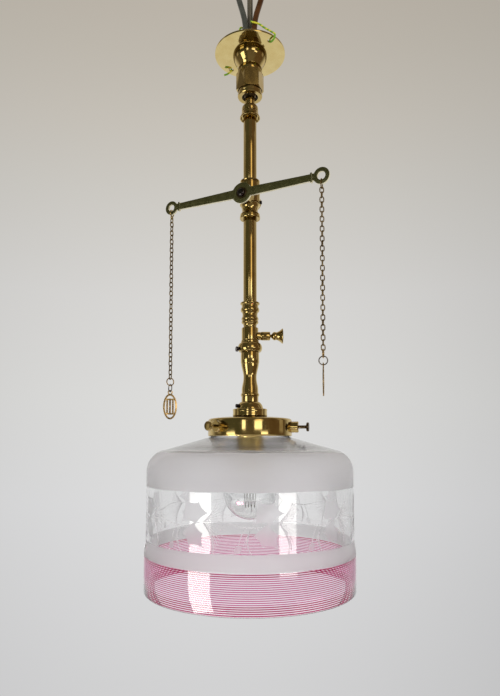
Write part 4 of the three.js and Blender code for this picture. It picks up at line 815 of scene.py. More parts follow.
# %% Soft lamps
LAMPS_AIM = Vector((0.0, 0.0, -0.3))
for name, place, watts, size in (
    ("window_left", Vector((-1.1, -1.3, 0.35)), 8.0, 1.1),
    ("window_right", Vector((1.3, -0.7, -0.1)), 5.0, 0.9),
):
    lamp_data = bpy.data.lights.new(name, "AREA")
    lamp_data.energy = watts
    lamp_data.size = size
    lamp_data.color = (1.0, 0.985, 0.96)
    lamp_light = bpy.data.objects.new(name, lamp_data)
    lamp_light.location = place
    lamp_light.rotation_euler = (LAMPS_AIM - place).to_track_quat("-Z", "Y").to_euler()
    lamp_light.visible_glossy = False
    bpy.context.scene.collection.objects.link(lamp_light)
    print(name, "gives", watts, "W")

# %% [markdown]
# A pale floor lies well below the shade. It is out of the photograph's view, but it gives the other
# views a ground and a faint shadow.

# %% Floor
FLOOR_LEVEL = -1.31
bpy.ops.object.select_all(action="DESELECT")
bpy.ops.mesh.primitive_circle_add(vertices=96, radius=1.0, fill_type="NGON", location=(0, 0, FLOOR_LEVEL))
floor = bpy.context.object
floor.name = "floor"
apply_place(floor)
floor_finish, tree, shader = new_finish("floor_paint")
specks = noise(tree, stretched(tree), 14.0)
paint = ramp(tree, specks, "Fac", [(0.3, (0.63, 0.625, 0.61)), (0.7, (0.66, 0.655, 0.64))])
wire_up(tree, paint, "Color", shader, "Base Color")
shader.inputs["Roughness"].default_value = 0.8
floor.data.materials.append(floor_finish)
floor.visible_glossy = False
print("the floor is", -FLOOR_LEVEL, "m below the ceiling plate")

# %% [markdown]
# The ceiling plate is a thin brass disc with a hole in the middle for the flexes and two fixing
# holes. It is turned flat and drilled with a drill's shape, a cylinder, at each hole.

# %% Ceiling plate and its bush
def drill(piece, radius, length, place, turn_to=(0.0, 0.0, 0.0), sides=32):
    """Drills a round hole, given the middle of the drill in millimetres."""
    bpy.ops.object.select_all(action="DESELECT")
    bpy.ops.mesh.primitive_cylinder_add(
        vertices=sides,
        radius=radius * MM,
        depth=length * MM,
        location=[v * MM for v in place],
        rotation=[math.radians(v) for v in turn_to],
    )
    return cut(piece, bpy.context.object)


FIXING_CIRCLE = 30.3
FIXING_ANGLES = (132.0, -48.0)
plate = turn(
    "plate_disc",
    [
        (10.8, 0.0), *round_corner(36.5, -0.5, 0.5, 90, 0), *round_corner(36.9, -1.9, 0.1, 0, -90, 2),
        (10.8, PLATE_BOTTOM),
    ],
    128,
)
for angle in FIXING_ANGLES:
    drill(plate, 2.6, 6.0, polar(FIXING_CIRCLE, angle, PLATE_BOTTOM / 2))
set_piece(soften(plate, 0.0), "ceiling", plate_brass, "pale_brass", "ceiling_plate")

bush = turn(
    "plate_bush_sleeve",
    [
        (7.4, 1.6), (7.8, 2.0), (11.7, 2.0), *round_corner(11.9, 1.5, 0.5, 90, 0), (12.4, 0.05),
        (10.5, 0.0), (10.5, -2.6), (7.4, -2.6),
    ],
)
set_piece(soften(bush, 0.0), "ceiling", black_plastic, "black_plastic", "plate_bush")

# %% [markdown]
# Under the plate sits a bell-shaped boss that ends in a round collar, and a hexagonal union nut is
# screwed up against the collar. The nut is a six-sided cylinder. Its corners are chamfered by keeping
# only what it shares with a turned shape, the way a real nut blank is faced in a lathe. The round
# cup below it is turned and joined on; its lip curls in to keep the ball from falling out.

# %% Boss and union nut
def quadratic(start, control, end, steps=10):
    """Points of an outline along a quadratic curve, without its first point."""
    points = []
    for i in range(1, steps + 1):
        t = i / steps
        points.append(
            tuple(
                (1 - t) ** 2 * s + 2 * t * (1 - t) * c + t * t * e for s, c, e in zip(start, control, end)
            )
        )
    return points


boss = turn(
    "bell_boss",
    [
        (11.0, PLATE_BOTTOM), (17.6, PLATE_BOTTOM), (17.8, -2.4),
        *quadratic((17.8, -2.4), (17.9, -8.4), (12.2, -14.6), 14), (11.9, -15.1), (11.5, -15.6),
        (11.5, -16.6), (12.6, -17.2), (12.7, -17.8), (12.7, -22.2), (12.5, -22.4), (10.6, -22.6),
        (10.6, -30.6), (5.0, -30.6), (5.0, -9.5), (11.0, -9.5),
    ],
    96,
)
set_piece(soften(boss, 0.12, 2, 38), "ceiling", polished_brass, "polished_brass", "ceiling_boss")

NUT_FLATS = 25.4
NUT_TURN = -22.0
HEXAGON_TOP, HEXAGON_BOTTOM = -22.5, -41.6
bpy.ops.object.select_all(action="DESELECT")
bpy.ops.mesh.primitive_cylinder_add(
    vertices=6,
    radius=NUT_FLATS / 2 / math.cos(math.radians(30)) * MM,
    depth=(HEXAGON_TOP - HEXAGON_BOTTOM) * MM,
    location=(0, 0, (HEXAGON_TOP + HEXAGON_BOTTOM) / 2 * MM),
    rotation=(0, 0, math.radians(NUT_TURN)),
)
nut = bpy.context.object
apply_place(nut)
facing = turn(
    "facing",
    [
        (0.0, HEXAGON_TOP), (12.9, HEXAGON_TOP), (14.75, HEXAGON_TOP - 1.1), (14.75, HEXAGON_BOTTOM + 1.2),
        (13.0, HEXAGON_BOTTOM), (0.0, HEXAGON_BOTTOM),
    ],
    96,
    closed=False,
)
cut(nut, facing, "INTERSECT")
drill(nut, 10.3, 40.0, (0, 0, -32.0), sides=72)
cup = turn(
    "cup",
    [
        (10.3, -36.0), (12.1, -36.0), (12.1, -41.7), (12.4, -42.4), (12.4, -44.2), (12.0, -44.7),
        (12.2, -45.1), (12.8, -45.4), (12.95, -46.0), (12.95, -47.4), (12.5, -48.2), (11.6, CUP_BOTTOM),
        (9.4, CUP_BOTTOM), (8.5, -48.1), (8.1, -47.5), (8.9, -46.3), (9.8, -44.5), (10.25, -42.6),
        (10.3, -41.2),
    ],
    72,
)
cut(nut, cup, "UNION")
drill(nut, 10.7, 20.0, (0, 0, -21.0), sides=72)
nut.name = "hexagon_union_nut"
set_piece(soften(nut, 0.35, 3, 28), "ceiling", polished_brass, "polished_brass", "union_nut")


def paint_shade_inside(piece, test):
    """Gives the faces whose middle passes the test a dark finish: painted shade, where a recess lies in
    shadow.
    """
    piece.data.materials.append(dark_bronze)
    for face in piece.data.polygons:
        if test(math.hypot(face.center.x, face.center.y) / MM, face.center.z / MM):
            face.material_index = 1


# The inside of the cup and its mouth are painted dark as shade.
paint_shade_inside(nut, lambda radius, level: radius < 10.8 and level > -48.2)

# %% [markdown]
# The ball, its neck and its spigot are one turned piece. A thin band of packing lies between the
# ball and the cup and keeps the joint stiff. The collar under the neck has a domed top, a groove and
# a bell skirt that is hollow underneath, where the tube goes in.

# %% Ball, packing and collar
BALL_RADIUS = 8.8
BAND_OUTSIDE, BAND_INSIDE = 9.85, 9.15


def round_the_ball(radius, angles):
    """Outline points at a distance from the ball's centre, by their angle from its top."""
    return [(radius * math.sin(math.radians(a)), BALL + radius * math.cos(math.radians(a))) for a in angles]


ball_points = round_the_ball(BALL_RADIUS, range(0, 145, 8))
ball = turn(
    "ball_and_neck",
    [
        *ball_points, (5.2, -48.7), (5.2, -57.2), (4.9, COLLAR_TOP), (4.0, COLLAR_TOP), (4.0, -64.8),
        (0.0, -64.8),
    ],
    64,
    closed=False,
)
set_piece(soften(ball, 0.0, angle=40), "stem", polished_brass, "polished_brass", "ball_stem")
# The ball and the top of its neck, down in the cup, are painted dark as shade.
paint_shade_inside(ball, lambda radius, level: level > -50.5)

outer_band = round_the_ball(BAND_OUTSIDE, range(52, 119, 6))
inner_band = round_the_ball(BAND_INSIDE, range(122, 55, -6))
band = turn("packing_band", outer_band + inner_band, 64)
set_piece(soften(band, 0.0), "packing", packing, "packing_cord", "packing_ring")

collar = turn(
    "bell_collar",
    [
        (4.3, COLLAR_TOP), (6.3, COLLAR_TOP), *quadratic((6.3, COLLAR_TOP), (8.6, -58.2), (8.6, -61.4), 8),
        (8.6, -64.0), (8.0, -64.1), (8.0, -64.7), (8.7, -64.9), (8.9, -65.6), (9.2, -67.2), (9.9, -69.2),
        (10.6, -70.5), (10.6, -71.2), (10.4, -71.45), (9.8, -71.45), (9.4, -70.6), (8.6, -69.6),
        (7.1, -69.2), (7.1, -66.4), (4.3, -66.4),
    ],
    80,
)
set_piece(soften(collar, 0.1, 2, 34), "stem", polished_brass, "polished_brass", "upper_collar")

# %% [markdown]
# The two tubes of the stem are plain drawn brass. They are turned with a real wall, and go about
# five millimetres into a socket at each end.

# %% Stem tubes
TUBE_RADIUS, TUBE_BORE = 6.9, 5.6
TUBES = (
    ("upper_stem_tube", -66.5, -144.4, "upper_tube"), ("lower_stem_tube", -175.0, -273.0, "lower_tube")
)
for name, top, bottom, cad_node in TUBES:
    tube = turn(
        name, [(TUBE_BORE, top), (TUBE_RADIUS, top), (TUBE_RADIUS, bottom), (TUBE_BORE, bottom)], 80
    )
    set_piece(soften(tube, 0.1), "stem", polished_brass, "polished_brass", cad_node)

# %% [markdown]
# The cock is the tap that the two chains work. Its body is a turned pillar, crossed by a short
# barrel in which a tapered plug turns. The barrel points to the viewer and a little to the left,
# so it is turned along the stem first and then laid outwards. The plug's own shape cuts the bore.

# %% Cock body
LEVER_FACING = -116.0
GRUB_LEVEL = -162.0
cock = turn(
    "cock_pillar",
    [
        (6.95, COCK_TOP), (9.3, COCK_TOP), (10.1, -139.7), (10.2, -140.3), (9.9, -140.9), (9.0, -141.2),
        (9.0, -142.1), (9.9, -142.4), (10.3, -142.9), (10.3, -162.8), (10.0, -163.3), (9.3, -163.6),
        (9.3, -164.1), (10.2, -164.4), (10.5, -164.9), (10.4, -165.6), (9.6, -166.2), (8.75, -168.2),
        (8.25, -170.2), (8.2, -171.4), (8.45, -173.0), (9.1, -174.4), (10.0, -175.1), (10.1, -175.6),
        (9.5, -176.0), (9.5, -176.6), (10.3, -176.9), (10.55, -177.6), (10.55, -179.4),
        (10.25, COCK_BOTTOM), (6.95, COCK_BOTTOM),
    ],
    96,
)
barrel = turn(
    "barrel",
    [(0.0, 15.4), (7.4, 15.4), (8.0, 14.8), (8.0, -11.0), (7.4, -11.6), (0.0, -11.6)],
    64,
    closed=False,
)
lay_outwards(barrel, LEVER_FACING, LEVER)
cut(cock, barrel, "UNION")
plug_cutter = turn(
    "plug_cutter", [(0.0, 16.0), (5.62, 16.0), (4.78, -12.2), (0.0, -12.2)], 48, closed=False
)
cut(cock, lay_outwards(plug_cutter, LEVER_FACING, LEVER))
drill(cock, 2.1, 6.0, (11.0, 0, GRUB_LEVEL), (0, 90, 0))
set_piece(soften(cock, 0.15, 2, 34), "stem", polished_brass, "polished_brass", "cock_body")


def slotted_screw(name, radius, start, end, degrees, level, slot=0.5, dome=0.4):
    """A screw laid outwards, with a slot across its end."""
    screw = turn(
        name,
        [(0.0, start), (radius, start), (radius, end - dome), (radius - dome, end), (0.0, end)],
        32,
        closed=False,
    )
    bpy.ops.object.select_all(action="DESELECT")
    bpy.ops.mesh.primitive_cube_add(
        size=1, location=(0, 0, end * MM), scale=(slot * MM, 3 * radius * MM, 1.1 * MM)
    )
    cut(screw, bpy.context.object)
    return lay_outwards(screw, degrees, level)


grub = slotted_screw("black_grub_screw", 1.9, 8.3, 12.5, 0.0, GRUB_LEVEL)
set_piece(soften(grub, 0.08), "stem", black_steel, "dark_steel", "cock_grub_screw")

# %% [markdown]
# The plug's tapered cone, its flange, its square and its threaded tail turn with the lever. Each is
# a simple form about one axis, so they are drawn together and laid outwards. Behind the barrel the
# tail carries a washer and a small nut.

# %% Plug, tail washer and nut
plug = turn(
    "cock_plug_cone",
    [
        (0.0, 17.5), (6.6, 17.5), (7.0, 17.1), (7.0, 16.0), (6.7, 15.7), (5.4, 15.7), (4.6, -11.6),
        (2.3, -11.6), (2.3, -15.8), (1.9, -16.2), (0.0, -16.2),
    ],
    64,
    closed=False,
)
bpy.ops.object.select_all(action="DESELECT")
bpy.ops.mesh.primitive_cube_add(size=1, location=(0, 0, 18.4 * MM), scale=(6.4 * MM, 6.4 * MM, 2.3 * MM))
cut(plug, bpy.context.object, "UNION")
drill(plug, 1.7, 8.0, (0, 0, 16.5))
lay_outwards(plug, LEVER_FACING, LEVER)
set_piece(soften(plug, 0.12), "lever", polished_brass, "polished_brass", "cock_plug")

washer = turn(
    "tail_washer_disc",
    [(2.5, -11.9), (5.0, -11.9), (5.2, -12.1), (5.2, -12.7), (5.0, -12.9), (2.5, -12.9)],
    48,
)
set_piece(
    soften(lay_outwards(washer, LEVER_FACING, LEVER), 0.0),
    "lever",
    polished_brass,
    "polished_brass",
    "tail_washer",
)

bpy.ops.object.select_all(action="DESELECT")
bpy.ops.mesh.primitive_cylinder_add(
    vertices=6, radius=4.0 / math.cos(math.radians(30)) * MM, depth=2.6 * MM, location=(0, 0, -14.2 * MM)
)
tail_nut = bpy.context.object
tail_nut.name = "tail_hexagon"
drill(tail_nut, 2.5, 6.0, (0, 0, -14.2))
lay_outwards(tail_nut, LEVER_FACING, LEVER)
set_piece(soften(tail_nut, 0.3, 3), "lever", polished_brass, "polished_brass", "tail_nut")

# %% [markdown]
# The lever is flat bar, thickest at the boss and tapering to an eye at each end, with a small square
# collar before each eye. It is drawn flat: discs and tapered bars are joined by union, drilled, and
# softened on all edges as a casting is. Then it is stood up across the stem.

# %% Lever
def stand_up(piece, degrees, level, across=0.0, forward=0.0):
    """Stands a flat piece up: its X runs along an angle, its Y runs up."""
    piece.rotation_euler = (math.radians(90), 0, math.radians(degrees))
    piece.location = (across * MM, forward * MM, level * MM)
    apply_place(piece)
    return piece


def flat_disc(name, radius, thickness, place=(0.0, 0.0), sides=64, middle=0.0):
    """A disc that lies flat, at a place in the XY plane."""
    bpy.ops.object.select_all(action="DESELECT")
    centre = [v * MM for v in (*place, middle)]
    bpy.ops.mesh.primitive_cylinder_add(
        vertices=sides, radius=radius * MM, depth=thickness * MM, location=centre
    )
    made = bpy.context.object
    made.name = name
    apply_place(made)
    return made


def flat_bar(name, width, height, thickness, place=(0.0, 0.0), middle=0.0):
    """A bar that lies flat, at a place in the XY plane."""
    bpy.ops.object.select_all(action="DESELECT")
    centre = [v * MM for v in (*place, middle)]
    bpy.ops.mesh.primitive_cube_add(
        size=1, location=centre, scale=(width * MM, height * MM, thickness * MM)
    )
    made = bpy.context.object
    made.name = name
    apply_place(made)
    return made


def select_where(piece, test):
    """In edit mode, selects the vertices whose place in millimetres passes the test."""
    bpy.ops.mesh.select_mode(type="VERT")
    bpy.ops.mesh.select_all(action="DESELECT")
    mesh = bmesh.from_edit_mesh(piece.data)
    for vertex in mesh.verts:
        vertex.select_set(bool(test(vertex.co / MM)))
    mesh.select_flush_mode()
    bmesh.update_edit_mesh(piece.data)


LEVER_REACH = 84.5
LEVER_THICK = 2.2
LEVER_FACE = 18.6
lever = flat_disc("lever_bar", 10.6, LEVER_THICK, middle=LEVER_FACE)
for side, eye_radius in ((-1, 7.35), (1, 8.1)):
    arm_length = LEVER_REACH - 2.0
    arm = flat_bar("arm", arm_length, 8.0, LEVER_THICK, (side * arm_length / 2, 0.0), LEVER_FACE)
    open_mesh(arm)
    for far, scale in ((False, 9.4 / 8.0), (True, 6.6 / 8.0)):
        select_where(arm, lambda co: (abs(co.x) > 40.0) == far)
        bpy.ops.transform.resize(value=(1.0, scale, 1.0), center_override=(0, 0, 0))
    close_mesh()
    cut(lever, arm, "UNION")
    neck = (side * (LEVER_REACH - eye_radius - 2.1), 0.0)
    cut(lever, flat_bar("neck_collar", 1.8, 9.6, LEVER_THICK + 0.5, neck, LEVER_FACE), "UNION")
    cut(
        lever,
        flat_disc("eye", eye_radius, LEVER_THICK, (side * LEVER_REACH, 0.0), middle=LEVER_FACE),
        "UNION",
    )
for side, hole in ((-1, 3.6), (1, 4.1)):
    drill(lever, hole, 8.0, (side * LEVER_REACH, 0.0, LEVER_FACE), sides=48)
cut(lever, flat_bar("square", 6.6, 6.6, 8.0, middle=LEVER_FACE))
open_mesh(lever)
bpy.ops.mesh.select_all(action="SELECT")
bpy.ops.mesh.dissolve_limited(angle_limit=math.radians(0.8))
close_mesh()
# The flat form lies at the lever's own height along Z, and now faces the viewer
stand_up(lever, LEVER_FACING + 90.0, LEVER)
set_piece(soften(lever, 0.4, 3, 40), "lever", olive_brass, "aged_brass", "lever")
# Its edges take a pale brass, a painted highlight where they mirror the pale wall; its faces have gone dark
lever.data.materials.append(edge_highlight_brass)
lever_facing = Vector(polar(1.0, LEVER_FACING, 0.0))
for face in lever.data.polygons:
    face.material_index = 1 if abs(face.normal.dot(lever_facing)) < 0.8 else 0

lever_washer = turn(
    "lever_washer_disc",
    [(1.7, 19.72), (5.4, 19.72), (5.7, 20.0), (5.7, 20.3), (5.4, 20.58), (1.7, 20.58)],
    56,
)
set_piece(
    soften(lay_outwards(lever_washer, LEVER_FACING, LEVER), 0.0),
    "lever",
    dark_bronze,
    "aged_brass",
    "lever_washer",
)

lever_screw = turn(
    "lever_dome_screw",
    [
        (0.0, 22.8), *quadratic((0.0, 22.8), (4.0, 22.8), (4.2, 20.62), 8), (1.5, 20.62), (1.5, 13.6),
        (0.0, 13.6),
    ],
    48,
    closed=False,
)
cut(lever_screw, flat_bar("slot", 0.8, 9.0, 1.4, middle=22.8))
set_piece(
    soften(lay_outwards(lever_screw, LEVER_FACING, LEVER), 0.06),
    "lever",
    black_steel,
    "dark_steel",
    "lever_screw",
)

# %% [markdown]
# Bent wire makes the S-hook, and later the filament and the tie. A wire is drawn as a curve with a
# round section, which keeps its thickness round every bend, and is then made a mesh. Closed loops,
# such as the hanger, are a torus instead, stretched where a link is longer than it is wide.

# %% Hooks and loops
def arc(x, y, radius, start, sweep, steps):
    """Points round a centre, from a start through a sweep in degrees."""
    turns = [math.radians(start + sweep * i / steps) for i in range(steps + 1)]
    return [(x + radius * math.cos(t), y + radius * math.sin(t)) for t in turns]


def wire_mesh(name, line, radius):
    """A bent wire of round section as a closed mesh."""
    made = wire_curve(name, [Vector(p) for p in line], radius)
    pick(made)
    bpy.ops.object.convert(target="MESH")
    made = bpy.context.object
    made.name = name
    open_mesh(made)
    bpy.ops.mesh.select_all(action="SELECT")
    bpy.ops.mesh.remove_doubles(threshold=1e-6)
    bpy.ops.mesh.normals_make_consistent(inside=False)
    close_mesh()
    return made


def oval_loop(name, half_height, half_width, wire, around=24, section=10):
    """A loop of wire in the XY plane, longer along Y than it is wide."""
    bpy.ops.object.select_all(action="DESELECT")
    bpy.ops.mesh.primitive_torus_add(
        major_radius=half_width * MM, minor_radius=wire * MM, major_segments=around, minor_segments=section
    )
    loop = bpy.context.object
    loop.name = name
    if half_height > half_width:
        open_mesh(loop)
        for sign in (1, -1):
            select_where(loop, lambda co: co.y * sign > 0.001)
            bpy.ops.transform.translate(value=(0, sign * (half_height - half_width) * MM, 0))
        close_mesh()
    return loop


LEFT_EYE = (-84.102, 20.325)
RIGHT_EYE = (67.794, -53.760)

upper_bow = arc(0.0, 0.0, 3.2, 228.0, -318.0, 34)
lower_bow = arc(0.0, -4.8, 1.6, 90.0, 292.0, 26)
s_line = [(x, y, 0.0) for x, y in upper_bow[:-1] + lower_bow]
s_hook = wire_mesh("brass_s_hook", s_line, 0.65)
stand_up(s_hook, LEVER_FACING, -165.15, *LEFT_EYE)
set_piece(soften(s_hook, 0.0, angle=50), "left_chain", polished_brass, "polished_brass", "left_s_link")

hanger = oval_loop("bronze_hanger", 4.7, 2.2, 0.55, 32, 12)
stand_up(hanger, LEVER_FACING, -167.25, *RIGHT_EYE)
set_piece(soften(hanger, 0.0, angle=50), "right_chain", chain_bronze, "bronze_wire", "right_hanger")

# %% [markdown]
# Each chain is a run of small oval links, every one turned a quarter from the last. One link is
# made, copied down the chain with a mesh of its own each time, and the run is joined.

# %% Chains
LINK_PITCH = 4.7


def chain(name, first_turn, eye, top, count):
    pattern = oval_loop("link_pattern", 2.84, 1.8, 0.55, 18, 8)
    links = []
    for i in range(count):
        link = copy_of(pattern, "link")
        # Old chain hangs a little unevenly
        sway = 4.0 * math.sin(2.4 * i) if 0 < i < count - 1 else 0.0
        stand_up(link, first_turn + 90.0 * i + sway, top - i * LINK_PITCH, *eye)
        links.append(link)
    throw_away(pattern)
    return soften(join(name, *links), 0.0, angle=60)


left_chain = chain("left_pull_chain", -45.0, LEFT_EYE, -172.89, 37)
set_piece(left_chain, "left_chain", chain_bronze, "bronze_wire", "left_chain")
right_chain = chain("right_pull_chain", 4.0, RIGHT_EYE, -173.39, 33)
set_piece(right_chain, "right_chain", chain_bronze, "bronze_wire", "right_chain")

# %% [markdown]
# Two plain rings join each chain to its tag, one through the other. One ring is made, and the four
# are its copies, each turned as it hangs.

# %% Rings over the tags
ring_pattern = oval_loop("ring_pattern", 4.0, 4.0, 0.55, 40, 12)
for side, place, turned_to, level, eye, finish in (
    ("left", "upper", 35.0, -347.53, LEFT_EYE, gilt),
    ("left", "lower", -58.0, -354.13, LEFT_EYE, bright_steel),
    ("right", "upper", 75.0, -329.23, RIGHT_EYE, gilt),
    ("right", "lower", -8.0, -335.83, RIGHT_EYE, bright_steel),
):
    ring = copy_of(ring_pattern, f"{side}_ring_{place}_wire")
    stand_up(ring, turned_to, level, *eye)
    set_piece(soften(ring, 0.0, angle=60), f"{side}_chain", finish, "gilt_metal", f"{side}_{place}_ring")
throw_away(ring_pattern)

# %% [markdown]
# The tags at the chains' ends are thin gilt castings: an egg-shaped rim with openwork inside and a
# round eyelet above. The rim is a disc stretched to an oval with a smaller oval cut out of it, and
# plain bars fill the window. One tag is made and copied to both chains.

# %% Tags
TAG_WIDTH, TAG_HEIGHT, TAG_THICK, TAG_RIM = 14.6, 27.0, 1.0, 1.9
CHORD_RISE, EYELET_RISE = 7.6, 14.95


def oval_plate(name, width, height, thickness, sides=72):
    made = flat_disc(name, 1.0, thickness, sides=sides)
    made.scale = (width / 2, height / 2, 1.0)
    apply_place(made)
    return made


tag_pattern = oval_plate("tag_pattern", TAG_WIDTH, TAG_HEIGHT, TAG_THICK)
cut(tag_pattern, oval_plate("window", TAG_WIDTH - 2 * TAG_RIM, TAG_HEIGHT - 2 * TAG_RIM, 4.0))
chord_reach = (TAG_WIDTH - TAG_RIM) * math.sqrt(1 - (2 * CHORD_RISE / (TAG_HEIGHT - TAG_RIM)) ** 2)
for rise in (CHORD_RISE, -CHORD_RISE):
    cut(tag_pattern, flat_bar("chord", chord_reach, 1.7, TAG_THICK * 0.9, (0.0, rise)), "UNION")
for across in (-3.0, 0.0, 3.0):
    cut(tag_pattern, flat_bar("upright_bar", 1.8, 2 * CHORD_RISE, TAG_THICK * 0.8, (across, 0.0)), "UNION")
cut(tag_pattern, flat_disc("eyelet", 2.65, TAG_THICK, (0.0, EYELET_RISE), 32), "UNION")
drill(tag_pattern, 1.45, 4.0, (0.0, EYELET_RISE, 0.0))
for side, turned_to, level, eye in (("left", 4.0, -373.68, LEFT_EYE), ("right", 80.0, -355.38, RIGHT_EYE)):
    tag = stand_up(copy_of(tag_pattern, f"{side}_openwork_tag"), turned_to, level, *eye)
    set_piece(soften(tag, 0.2, 2, 35), f"{side}_tag", gilt, "gilt_metal", f"{side}_tag")
throw_away(tag_pattern)

# %% [markdown]
# Below the lower tube come a union with several turned rings, and the small regulating tap. The
# tap's body is round, with a side boss for its needle, and the needle ends in a trumpet-shaped key.

# %% Ringed union and tap
union = turn(
    "ringed_union_turning",
    [
        (6.95, UNION_TOP), (9.2, UNION_TOP), (9.85, -268.5), (10.0, -269.3), (9.7, -270.1), (8.9, -270.6),
        (8.55, -271.1), (8.6, -273.3), (9.1, -273.9), (9.55, -274.9), (9.6, -276.2), (9.3, -277.5),
        (8.4, -278.3), (7.85, -279.4), (7.7, -280.8), (7.8, -282.5), (8.2, -283.5), (8.7, -284.3),
        (8.85, -285.3), (8.5, -286.4), (7.9, -287.0), (8.5, -287.6), (8.8, -288.6), (8.5, -289.5),
        (7.6, -290.3), (6.85, -291.2), (6.7, -292.4), (6.7, -294.25), (6.55, TAP_TOP), (6.55, -299.2),
        (4.2, -299.2), (4.2, -273.0), (6.95, -273.0),
    ],
    88,
)
set_piece(soften(union, 0.08, 2, 36), "stem", polished_brass, "polished_brass", "ringed_union")

tap = turn(
    "tap_barrel",
    [
        (6.62, TAP_TOP), *round_corner(7.75, -295.1, 0.8, 90, 0), *round_corner(7.75, -306.8, 0.8, 0, -90),
        (6.6, CLAMP_TOP), (6.6, -312.4), (4.2, -312.4), (4.2, -299.4), (6.62, -299.4),
    ],
    80,
)
tap_boss = turn(
    "tap_boss",
    [
        (0.0, 6.0), (4.2, 6.0), (4.2, 10.6), (3.95, 11.0), (4.2, 11.4), (4.45, 11.9), (4.45, 19.9),
        (4.0, 20.6), (0.0, 20.6),
    ],
    48,
    closed=False,
)
lay_outwards(tap_boss, 0.0, TAP_AXIS)
cut(tap, tap_boss, "UNION")
drill(tap, 4.2, 30.0, (0.0, 0.0, -303.0), sides=64)
drill(tap, 1.9, 18.0, (13.0, 0.0, TAP_AXIS), (0, 90, 0))
set_piece(soften(tap, 0.15, 2, 36), "stem", polished_brass, "polished_brass", "tap_body")

key = turn(
    "trumpet_key",
    [
        (0.0, 5.4), (1.7, 7.0), (1.7, 21.9), (2.3, 22.3), (3.3, 23.1), (4.1, 24.1), (4.35, 25.2),
        (4.1, 26.2), (3.9, 26.9), (4.2, 28.0), (5.0, 29.6), (6.2, 31.2), (7.3, 32.4), (7.75, 32.9),
        (7.8, 33.4), (7.5, 33.7), (6.9, 33.6), (5.6, 32.3), (3.0, 31.2), (0.0, 31.0),
    ],
    64,
    closed=False,
)
lay_outwards(key, 0.0, TAP_AXIS)
set_piece(soften(key, 0.0, angle=40), "tap_key", polished_brass, "polished_brass", "tap_key")

# %% [markdown]
# A bulging ring clamps the tap to the baluster, with a knurled black screw on its left. The
# baluster itself is the stem's one free curve: a drum, a waist and a hip over a ringed foot.

# %% Clamp ring, baluster and cap
clamp = turn(
    "bulging_clamp_ring",
    [
        (6.68, -307.65), (9.0, -307.65), (9.2, -307.9), (9.2, -309.6), (8.8, -310.0), (9.2, -310.3),
        (10.6, -310.5), (11.3, -311.3), (12.1, -312.9), (12.5, -314.9), (12.35, -316.6), (11.8, -318.2),
        (11.1, -319.2), (10.3, BALUSTER_TOP), (6.68, BALUSTER_TOP),
    ],
    96,
)
CLAMP_SCREW_ANGLE, CLAMP_SCREW_LEVEL = 200.0, -316.8
drill(clamp, 1.6, 9.0, polar(11.0, CLAMP_SCREW_ANGLE, CLAMP_SCREW_LEVEL), (0, 90, CLAMP_SCREW_ANGLE))
set_piece(soften(clamp, 0.1, 2, 34), "stem", polished_brass, "polished_brass", "clamp_ring")


def on_knurl(co):
    """True on every second strip round the screw's head."""
    strip = round(math.degrees(math.atan2(co.y, co.x)) / 7.5)
    return math.hypot(co.x, co.y) > 2.3 and strip % 2 == 0


knurled = turn(
    "knurled_clamp_screw",
    [(0.0, 6.9), (1.4, 6.9), (1.4, 12.8), (2.1, 12.8), (2.6, 13.1), (2.6, 14.9), (2.2, 15.2), (0.0, 15.2)],
    48,
    closed=False,
)
open_mesh(knurled)
select_where(knurled, on_knurl)
bpy.ops.transform.resize(value=(0.9, 0.9, 1.0), center_override=(0, 0, 0))
close_mesh()
lay_outwards(knurled, CLAMP_SCREW_ANGLE, CLAMP_SCREW_LEVEL)
set_piece(soften(knurled, 0.0, angle=25), "stem", black_steel, "dark_steel", "clamp_screw")

baluster = turn(
    "baluster_turning",
    [
        (6.6, -314.3), (6.6, BALUSTER_TOP), (9.0, BALUSTER_TOP), (9.4, -319.9), (9.4, -330.4),
        (9.1, -331.0),
        *curved(
            [
                (9.1, -331.2), (8.55, -334.8), (7.6, -338.8), (6.9, -342.2), (6.7, -345.0), (6.85, -348.0),
                (7.4, -351.4), (8.0, -354.2), (8.35, -356.8), (8.45, -359.0),
            ],
            4,
        ),
        (8.5, -361.4), (8.95, -361.8), (9.35, -362.6), (9.4, -363.3), (9.2, -364.2), (8.8, -364.8),
        (8.6, -365.4), (8.6, -370.3), (8.4, CAP_TOP), (6.6, CAP_TOP), (6.6, -375.5), (4.2, -375.5),
        (4.2, -314.3),
    ],
    96,
)
set_piece(soften(baluster, 0.08, 2, 36), "stem", polished_brass, "polished_brass", "baluster")

cap = turn(
    "holder_dome_cap",
    [
        (6.68, -370.55), (9.7, -370.55), *quadratic((9.7, -370.55), (12.6, -372.4), (13.5, -377.0), 10),
        (13.4, GALLERY_RING_TOP), (6.68, GALLERY_RING_TOP),
    ],
    88,
)
CAP_SCREW_ANGLE, CAP_SCREW_LEVEL = 208.0, -374.7
drill(cap, 2.05, 9.0, polar(12.0, CAP_SCREW_ANGLE, CAP_SCREW_LEVEL), (0, 90, CAP_SCREW_ANGLE))
set_piece(soften(cap, 0.1, 2, 34), "stem", polished_brass, "polished_brass", "holder_cap")
cap_screw = slotted_screw("black_cap_screw", 1.9, 10.7, 16.1, CAP_SCREW_ANGLE, CAP_SCREW_LEVEL)
set_piece(soften(cap_screw, 0.08), "stem", black_steel, "dark_steel", "cap_screw")

# %% [markdown]
# The gallery is spun from sheet brass: a nearly flat top, a rounded shoulder and a straight skirt
# with a turned-in edge. Three bosses are let into the skirt, and a thumbscrew in each holds the
# glass by its rim.

# %% Gallery ring and gallery
ring = turn(
    "gallery_top_ring",
    [
        (11.8, GALLERY_RING_TOP), (15.8, GALLERY_RING_TOP), *round_corner(16.6, -378.5, 1.0, 90, 0),
        (17.35, -380.0), (17.35, -382.4), *round_corner(16.6, -384.1, 1.0, 0, -90), (11.8, GALLERY_TOP),
    ],
    96,
)
set_piece(soften(ring, 0.06, 2, 34), "stem", polished_brass, "polished_brass", "gallery_ring")

